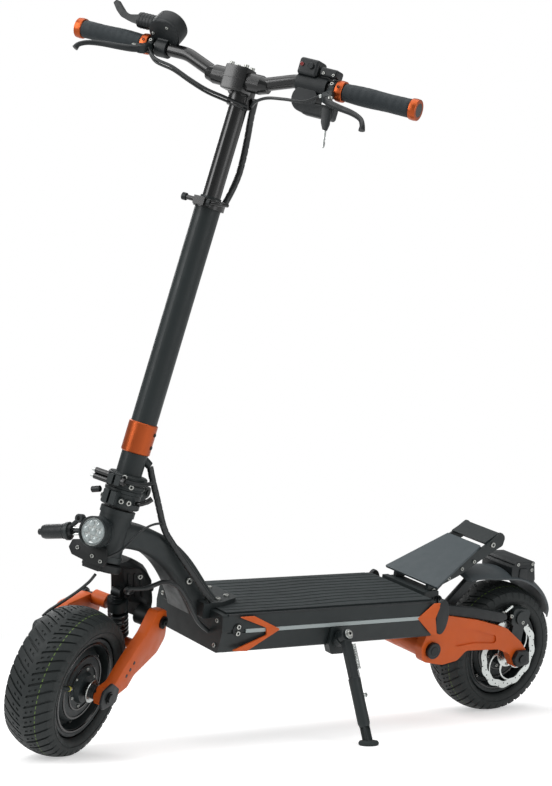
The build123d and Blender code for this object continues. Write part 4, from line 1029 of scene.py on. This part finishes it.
def damper():
    """Damper cylinder with stepped ends, clamp ring and its two bright rods."""
    way = (DAMPER_OUT - DAMPER_IN).normalized()
    length = (DAMPER_OUT - DAMPER_IN).length
    m = to_way(DAMPER_IN, way)
    p = Piece("plastic")
    p.lathe([(0, 0), (9.5, 0), (11, 2), (11.4, 4), (12.4, 5), (12.4, length - 6), (11.6, length - 3.4),
             (11, length - 1), (9.6, length), (5.4, length), (5.4, length + 7), (4.4, length + 8),
             (0, length + 8)], m, 44)
    p.use("cast").drum(15.4, 4, 11, m, 1, 44, 12)
    p.use("paint").drum(13, 15, 17, m, 0.6, 44, 12)
    for off in (-5.5, 5.5):
        start = DAMPER_IN + Vector((0, 0, off))
        p.use("steel").rod(start, start - way * 14, 2.2, 18)
    p.use("dark_steel").rod(DAMPER_IN - way, DAMPER_IN - way * 14, 3.6, 18)
    p.use("cast").rod((30, -43, 268), (44, -43, 268), 7.5, 26, 1, 3.4)
    p.rod((38, -47, 262), (38, -56, 250), 4, 18)
    return p.make("damper", COLUMN, "fork", ("steering_damper",))


headlamp()
lamp_plate()
lamp_trim()
damper()

# Deck

MAT_LOW, MAT_TOP, MAT_HALF = DECK_TOP + 0.2, DECK_TOP + 2.8, 89.0


def mat_bend(x):
    """Sideways step of the mat's grooves along the deck."""
    t = min(max((x - 420) / 130, 0), 1)
    return 9 * (t * t * (3 - 2 * t) - 0.5)


def deck_mat():
    """Rubber mat of lengthwise ribs with an S bend, cut as a height field with closed edges."""
    ribs = 11
    xs = [DECK_REAR + 6 + (715 - DECK_REAR - 6) * k / 70 for k in range(71)]
    across = [(-MAT_HALF, 0, 0)]
    for k in range(1, ribs):
        y = -MAT_HALF + 2 * MAT_HALF * k / ribs
        across += [(y - 1.9, 0, 1), (y - 1.2, 1.3, 1), (y + 1.2, 1.3, 1), (y + 1.9, 0, 1)]
    across.append((MAT_HALF, 0, 0))
    rings = []
    for x in xs:
        fade = min(1, (x - xs[0]) / 4, (xs[-1] - x) / 4)
        top = [Vector((x, y + mat_bend(x) * bend * (1 - (y / MAT_HALF) ** 8), MAT_TOP - depth * fade))
               for y, depth, bend in across]
        rings.append([Vector((x, -MAT_HALF, MAT_LOW))] + top + [Vector((x, MAT_HALF, MAT_LOW))])
    p = Piece("rubber")
    p.sections(rings)
    return p.make("deck_mat_ribs", FRAME, "frame", ("deck_mat",), angle=35)


def deck_trim():
    """Edge strips, the caps' screws, the neck pad's screws and a round boss with two screws on each side near
    the front.
    """
    p = Piece("plastic")
    for way in (1, -1):
        low, high = sorted((way * 93.5, way * 97.4))
        p.use("plastic")
        p.box(DECK_REAR + 14, DECK_FRONT - 12.5, low, high, DECK_TOP - 3.4, DECK_TOP + 0.8, 0.7)
        p.use("dark_steel").rod((694, way * 99, 229.5), (694, way * 101.7, 229.5), 11, 36, 0.6)
        for z in (235.4, 223.8):
            p.cap_screw((694.5, way * 101.7, z), (0, way, 0), 4.4, 2.6)
        for x, y in ((722, 44), (700, 42), (672, 26)):
            p.cap_screw((x, way * y, DECK_TOP + 11), (0, 0, 1), 5, 3.2)
        p.cap_screw((762, way * 36, 300), (0.2, way, 0.1), 5.4, 3.4)
        for x, face in ((DECK_REAR, -1), (DECK_FRONT, 1)):
            for z in (243, 200):
                p.cap_screw((x, way * 84, z), (face, 0, 0), 4, 2.4)
    return p.make("deck_trim", FRAME, "frame")


def rear_wedges():
    """Faceted orange wedges with a ridge, each with the round black end piece behind it."""
    p = Piece("orange")
    for m in BOTH_SIDES:
        front, ridge = (290, 101.9, 227), (252, 108.6, 227)
        top, top_rear = (254, 102.4, 253.6), (239, 104.4, 253.6)
        low, low_rear = (250, 102.4, 193.4), (239, 104.4, 193.4)
        outer = [front, top, top_rear, ridge, low_rear, low]
        base = [(x, 100.9, z) for x, y, z in outer]
        faces = [(0, 1, 2, 3), (0, 3, 4, 5)] + [(i, 6 + i, 6 + (i + 1) % 6, (i + 1) % 6) for i in range(6)]
        bm = solid(outer + base, faces + [(11, 10, 9, 8, 7, 6)])
        ease(bm, bm.edges[:], 0.5)
        p.use("orange").put_bm(bm, m)
        oval = [(232 + 15 * cos(t * pi / 16), 227 + 33 * sin(t * pi / 16)) for t in range(32)]
        p.use("plastic").side(oval, 96, 105.4, m, 1.6)
    return p.make("rear_wedges", FRAME, "frame", ("rear_chevrons",), angle=20)


def front_wedges():
    """Flat orange arrowheads with eased edges."""
    outline = [(606, BELT_Z), (664, 253), (696, 253), (636, 231), (634, 218), (704, 194), (672, 192)]
    p = Piece("orange")
    for m in BOTH_SIDES:
        p.side(outline, DECK_HALF + 0.8, DECK_HALF + 4, m, 0.9, [2, 2, 1, 4, 4, 1, 2])
    return p.make("front_wedges", FRAME, "frame", ("front_chevrons",))


deck_mat()
deck_trim()
rear_wedges()
front_wedges()

# Tail

ARM_REAR_OUT = 85.0
REAR_PIVOT = (228, 158)
REAR_SHOCK = (216, 240), (144, 214)


def tail_trim():
    """Screws, a black band over the left arm that is painted shade between the brake hose and the arm, axle
    covers, and the light's corner bolts.
    """
    px, pz = REAR_PIVOT
    p = Piece("plastic")
    # Black band over the left arm, from the deck's rear down to near the axle: painted shade where shadow
    # falls between the brake hose and the arm
    shade_band = [(206, 241), (198, 222), (120, 211), (60, 200), (42, 205), (46, 216), (120, 230)]
    p.side(shade_band, 69, 81, None, 2.4, [3, 8, 20, 4, 4, 8, 20])
    for way in (1, -1):
        cover = Matrix.Translation((0, ARM_REAR_OUT if way > 0 else -ARM_REAR_OUT - 10, TYRE_R))
        p.use("plastic").side([(-22, -12), (10, -16), (20, 0), (12, 16), (-16, 16)], 0, 10, cover, 2.2, 7)
        inner, middle, outer = (Vector((px, way * (ARM_REAR_OUT + out), pz)) for out in (4, 9, 10))
        p.rod(inner, middle, 15.5, 40, 1.6)
        p.use("dark_steel").rod(middle, outer, 9, 36)
        for x, z in ((214, 262), (180, 283), (150, 300), (122, 313)):
            p.cap_screw((x, way * 50, z), (0, way, 0), 3.6, 2.4)
        p.cap_screw((80, way * 50, 344), (0, way, 0), 5.2, 2.8)
        for x, z in ((-40, 300), (-40, 288), (-2, 300)):
            p.cap_screw((x, way * 43, z), (0, way, 0), 3.4, 2.2)
    for x, z in ((44, 214), (20, 206), (-12, 192)):
        p.cap_screw((x, 68, z), (0, 1, 0), 3.8, 3)
    p.use("steel").rod((30, 60, 212), (14, 62, 224), 2.6, 16)
    return p.make("tail_trim", FRAME, "frame")


def mudguard():
    """Crowned mudguard with a level front flap and a rolled rim, on two stays from the arm."""
    crown = [(126, 284), (112, 289), (84, 291), (50, 289), (16, 287), (-20, 284), (-56, 271), (-88, 249),
             (-110, 222), (-121, 194)]
    line = smooth_path([Vector((x, 0, z)) for x, z in crown], 6)
    rings = []
    for k, at in enumerate(line):
        way = (line[min(k + 1, len(line) - 1)] - line[max(k - 1, 0)]).normalized()
        out = Vector((way.z, 0, -way.x))
        half = 46 * min(1, 0.82 + 0.06 * k, 0.86 + 0.04 * (len(line) - 1 - k))
        top, low = [], []
        for j in range(15):
            t = -1 + j / 7
            drop = 11 * t * t + (3 * max(0, abs(t) - 0.86) / 0.14)
            top.append(at + Vector((0, half * t, 0)) - out * drop)
            low.append(at + Vector((0, half * t * 0.965, 0)) - out * (drop + 3))
        rings.append(top + low[::-1])
    p = Piece("fender")
    p.sections(rings)
    p.use("plastic")
    for m in BOTH_SIDES:
        p.side([(112, 281), (88, 283), (90, 274), (184, 186), (204, 192)], 26, 38, m, 1.5)
    return p.make("mudguard", FRAME, "frame", ("rear_fender",), angle=50)


def tail_light():
    """Tail light's housing with a lid lip, side bolts and the red window at its back."""
    p = Piece("plastic")
    p.side([(12, 293), (6, 300), (-46, 301), (-54, 268), (-50, 258), (10, 275)], -43, 43, None, 1.6, 4)
    p.side([(10, 299), (4, 305), (-44, 304.5), (-47, 299.5)], -44, 44, None, 1.2, 2)
    p.use("red").side([(-46, 296), (-51.4, 295), (-54.6, 273), (-50, 273)], -31, 31, None, 1)
    p.use("plastic").side([(-28, 292), (-8, 292), (-8, 274), (-30, 268)], -45, 45, None, 1, 3)
    return p.make("tail_light", FRAME, "frame", ("tail_box", "tail_lens"))


mudguard()
tail_light()
tail_trim()
spring_unit("rear_coil", *REAR_SHOCK, 17, 5.5, 3.0, 8, "frame", "rear_shock", FRAME)

# Stand

STAND_O, STAND_AXIS = joint_line("side_stand")


def stand_way():
    """From the stand's pivot to the middle of its pad on the floor, in metres."""
    pad = [v.co for v in NODES["stand_leg"].data.vertices if v.co.z < 0.001]
    return sum(pad, Vector()) / len(pad) - STAND_O


STAND_WAY = stand_way()
STAND_LENGTH = STAND_WAY.length / MM
STAND = to_way(STAND_O, STAND_WAY, STAND_AXIS) @ SCALE


def stand_leg():
    """Eye and flat upper bar, stepped lower tube, ribbed foot and pad."""
    p = Piece("cast")
    length = STAND_LENGTH
    p.rod((-7.8, 0, 0), (7.8, 0, 0), 11.8, 36, 1, 5.4)
    p.prism(rounded([(-7, -8), (7, -8), (7, 8), (-7, 8)], 3), 8, length * 0.44, None, 0.8)
    p.lathe([(0, length * 0.39), (9.6, length * 0.39), (10.8, length * 0.39 + 1.2), (10.8, length * 0.8),
             (8.6, length * 0.84), (0, length * 0.84)], None, 36)
    for k in range(4):
        m = Matrix.Rotation(radians(45 + 90 * k), 4, "Z")
        p.prism([(2, -1.6), (8.8, -1.6), (8.8, 1.6), (2, 1.6)], length * 0.82, length - 5, m, 0.6)
    p.rod((0, 0, length * 0.8), (0, 0, length - 4), 4.6, 24)
    down = STAND.to_3x3().inverted() @ Vector((0, 0, -1))
    foot = Vector((0, 0, length))
    m = to_way(foot, -down)
    p.use("rubber").lathe([(0, 0), (15.4, 0), (17.6, 1.6), (17.8, 4.4), (16, 7.4), (9, 8.6), (0, 8.6)], m, 48)
    return p.make("stand_leg_tube", STAND, "stand", ("stand_leg",))


def stand_spring():
    """Tight coil beside the leg, with its eye and the long wire down to the leg's hook."""
    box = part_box("stand_spring")
    middle = (Vector(box[0]) + Vector(box[1])) / 2
    way = STAND_WAY.normalized()
    half = 24 * MM
    top, low = middle - way * half, middle + way * half
    p = Piece("steel")
    p.coil(top / MM, low / MM, 4.3, 1.1, 18, 18, 8)
    obj = p.make("stand_coil", SCALE, None, ("stand_spring",))
    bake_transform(obj)
    to_local = STAND.inverted()
    a, b = to_local @ low, to_local @ middle
    side = Vector((b.x, b.y, 0)).normalized()
    q = Piece("steel")
    q.tube(smooth_path([a, a + Vector((0, 0, 14)), Vector((side.x * 13, side.y * 13, a.z + 34)),
                        Vector((side.x * 11, side.y * 11, a.z + 44))], 6), 0.9, 10)
    q.rod(side * 9 + Vector((0, 0, a.z + 42)), side * 17 + Vector((0, 0, a.z + 46)), 2.2, 18)
    q.drum(4.6, 0, 2, to_way(side * 17 + Vector((0, 0, a.z + 46)), side), 0.6, 24)
    q.make("stand_wire", STAND, "stand")


def stand_bolt():
    """Bright pivot bolt and its washer on the outside of the bracket."""
    local = Matrix.Translation(STAND_O) @ to_way((0, 0, 0), STAND_AXIS).to_3x3().to_4x4() @ SCALE
    p = Piece("steel")
    for way in (1, -1):
        p.cap_screw((0, 0, way * 12.6), (0, 0, way), 5.4, 4.4, "bolt")
    p.drum(8.4, 12.2, 13.4, None, 0.4, 32)
    return p.make("stand_bolt", local, "frame")


stand_leg()
stand_spring()
stand_bolt()

# Bars

RUBBER_IN, BAR_HALF, RING_W, GRIP_IN = 191.0, 322.0, 13.0, 178.0


def grips():
    """Shaped rubber grips with a palm swell and shallow ridges under the fingers."""
    p = Piece("grip")
    bar = Matrix.Translation((0, 0, BAR_Z))
    for m in BOTH_SIDES:
        rings = []
        for k in range(61):
            t = k / 60
            y = RUBBER_IN + (BAR_HALF - RING_W - RUBBER_IN) * t
            swell = 14.6 + 1.7 * sin(pi * min(t * 1.5, 1)) + 1.1 * max(0, t - 0.55) ** 0.5 * 1.4
            if k in (0, 60):
                swell -= 0.8
            ring = []
            for j in range(40):
                a = 2 * pi * j / 40
                ridge = 0.28 * sin(t * 60) * max(0, cos(a - 0.4)) ** 2
                r = swell + ridge + 0.5 * cos(2 * a)
                ring.append(bar @ Vector((r * cos(a), y, r * sin(a))))
            rings.append(ring)
        p.sections(rings, m)
    return p.make("grip_rubbers", BAR, "bar", ("grips",), angle=60)


def grip_rings():
    """Anodised lock rings with a clamp screw, and the bar's end caps."""
    p = Piece("anodised")
    for way in (1, -1):
        for low, high in ((GRIP_IN, RUBBER_IN - 0.2), (BAR_HALF - RING_W + 0.2, BAR_HALF)):
            m = to_way((0, way * low, BAR_Z), (0, way, 0))
            w = high - low
            p.use("anodised").lathe([(11.4, 0), (16, 0), (17, 0.8), (17.5, w * 0.4), (17.5, w * 0.6),
                                     (17, w - 0.8), (16, w), (11.4, w), (11.4, 0)], m, 56)
        m = to_way((0, way * (BAR_HALF - 2), BAR_Z), (0, way, 0))
        p.use("plastic").lathe([(0, 1.9), (12, 1.9), (14, 1.7), (14, 0), (0, 0)], m, 44)
        p.cap_screw((16.4, way * (GRIP_IN + 6), BAR_Z + 4), (1, 0, 0.2), 2.4, 1.6, "dark_steel")
    return p.make("lock_rings", BAR, "bar", ("grip_rings",))


def levers():
    """Brake levers: split clamps on the bar, pivot blocks and slim curved blades with ball ends."""
    g = RUBBER_IN
    p = Piece("cast")
    for way, droop in ((1, 35), (-1, 23)):
        turn = Matrix.Translation((0, 0, BAR_Z)) @ Matrix.Rotation(radians(droop), 4, "Y")
        p.use("cast").drum(15, 0, 10, to_way((0, way * (g - 24), BAR_Z), (0, way, 0)), 1.4, 40, 11.3)
        p.rod(turn @ Vector((12, way * (g - 19), 0)), turn @ Vector((30, way * (g - 17), 0)), 8, 24, 1.5)
        p.rod(turn @ Vector((32, way * (g - 16), -7)), turn @ Vector((32, way * (g - 16), 7)), 9, 28, 1.2)
        blade = [(32, g - 16, 0), (46, g - 6, 0), (54, g + 16, 0), (61, g + 44, 0), (71, g + 64, -1),
                 (83, g + 74, -4), (90, g + 77, -10)]
        line = smooth_path([turn @ Vector((x, way * y, z)) for x, y, z in blade], 8)
        last = len(line) - 1
        p.use("plastic").tube(line, [6.6 - 2.4 * min(1, 1.5 * k / last) + 1.2 * max(0, k / last - 0.85) / 0.15
                                     for k in range(last + 1)], 16)
    return p.make("levers", BAR, "bar", ("brake_levers",))


def bar_clamp():
    """Compact two-bolt clamp on the saddle over the sliding tube."""
    p = Piece("gloss")
    p.box(-17, 19, -21, 21, -21, 21, 4)
    p.box(-19.4, 19.6, -21.4, 21.4, -1, 1, 0.6)
    p.box(-28, -6, -17, 17, -24, 15, 3)
    p.drum(21.6, -41, 17, Matrix.Translation((-BAR_AHEAD, 0, 0)), 2, 48)
    return p.make("compact_clamp", BAR, "bar", ("bar_clamp",))


def bar_trim():
    """Clamp bolts, lever pivots and screws, reservoir lid, display glass and throttle rings."""
    p = Piece("dark_steel")
    for y in (-13.6, 13.6):
        for x in (12, -11):
            p.cap_screw((x, y, 21), (0, 0, 1), 4.2, 4.6)
    for way, droop in ((1, 35), (-1, 23)):
        turn = Matrix.Translation((0, 0, BAR_Z)) @ Matrix.Rotation(radians(droop), 4, "Y")
        for x, y, r in ((22, RUBBER_IN - 17, 3.4), (40, RUBBER_IN - 6, 4.2)):
            at = turn @ Vector((x, way * y, 5))
            up = turn.to_3x3() @ Vector((0, 0, 1))
            p.cap_screw(at, up, r, 2.2)
        p.cap_screw((14, way * (RUBBER_IN - 20), BAR_Z + 6), (1, 0, 0.4), 3, 2.4)
    hub_y = -RUBBER_IN + 3
    for k in range(5):
        m = to_way((4, hub_y - 14 + 6 * k, BAR_Z + 36), (0, -1, 0))
        p.use("plastic").drum(13.6, 0, 2.4, m, 0.6, 40, 11)
    face = Matrix.Translation((9, 43 - RUBBER_IN, BAR_Z + 30)) @ Matrix.Rotation(radians(-40), 4, "Y")
    p.use("display").lathe([(0, 15.6), (22, 15.6), (23, 15.1)], face, 48)
    case = [(23, 15), (24, 16.6), (27, 16.4), (29, 14), (29.6, 6), (29.6, -6), (28.6, -12), (26, -15)]
    p.use("plastic").lathe(case, face, 56)
    for k in range(3):
        p.cap_screw(face @ polar(20, 120 * k + 30, -15), face.to_3x3() @ Vector((0, 0, -1)), 2.6, 1.8)
    p.use("dark_steel").rod((18, 128, BAR_Z + 26), (21, 128, BAR_Z + 26), 5, 24)
    p.use("red").rod((18, 112, BAR_Z + 26), (20.4, 112, BAR_Z + 26), 3.2, 24)
    for y in (RUBBER_IN - 40, RUBBER_IN - 22):
        p.cap_screw((14, y, BAR_Z + 20), (1, 0, 0), 2.4, 1.6)
    return p.make("bar_trim", BAR, "bar")


def brake_cables():
    """Three thin cables that run from the levers along the bar into the bundle under the clamp."""
    p = Piece("sheath")
    right = [(24, -166, 12), (26, -146, -2), (24, -112, -8), (20, -76, -20), (14, -44, -29),
             (2, -14, -33), (-14, 22, -38)]
    left = [(24, 160, 2), (28, 138, -12), (28, 104, -16), (22, 72, -20), (10, 48, -28), (-10, 32, -36)]
    for route, r in ((right, 2.6), (left, 2.6), ([(p0 - 5, p1, p2 - 5) for p0, p1, p2 in right], 2.2)):
        p.tube(smooth_path(route, 10), r, 12)
    p.use("steel").rod((24, -168, 8), (22, -182, 14), 3, 16)
    p.rod((24, 160, 2), (22, 172, 8), 3, 16)
    return p.make("brake_cables", BAR, "bar")


KEY_SWING = 0.22              # mm across for each mm that the key hangs down
KEY_RING = -33                # where it hangs from, below the bar


def key():
    """Lock barrel, moulded key head and the bright blade with its notches."""
    z, y = BAR_Z, RUBBER_IN - 14
    p = Piece("steel")
    p.rod((12.2, y, z - 40), (19, y, z - 40), 6, 32)
    head = [(-7.6, -33), (7.6, -33), (7.6, -58), (3.6, -68.6), (-3.6, -68.6), (-7.6, -58)]
    blade = [(-2.8, -66), (2.8, -66), (2.8, -78), (1.6, -80), (2.8, -82), (1.6, -85), (2.8, -88), (2.2, -94),
             (0, -97), (-2.8, -94)]
    for look, outline, near, far, bevel in (("plastic", rounded(head, [5, 5, 8, 2, 2, 8]), 18, 23, 1.4),
                                            ("steel", blade, 19.6, 21.4, 0.3)):
        hung = [(y + a + KEY_SWING * (KEY_RING - b), z + b) for a, b in outline]
        p.use(look).prism(hung, near, far, FRONT_VIEW, bevel)
    return p.make("hanging_key", BAR, "bar", ("key",))


grips()
grip_rings()
levers()
bar_clamp()
bar_trim()
brake_cables()
key()


def height_clamp_trim():
    """Quick-release lever and nut of the height clamp."""
    p = Piece("gloss")
    a, s = 33, 826
    lever = [(a, 18, s), (a - 2, 26, s + 1), (a - 10, 34, s + 3), (a - 24, 38, s + 5)]
    p.tube(smooth_path(lever, 6), 3.4, 14)
    p.use("dark_steel").rod((a, -26, s), (a, -34.5, s), 6.4, 28, 1)
    p.rod((a, 13, s), (a, 20, s), 7, 28, 1)
    return p.make("height_clamp_trim", COLUMN, "stem")


height_clamp_trim()
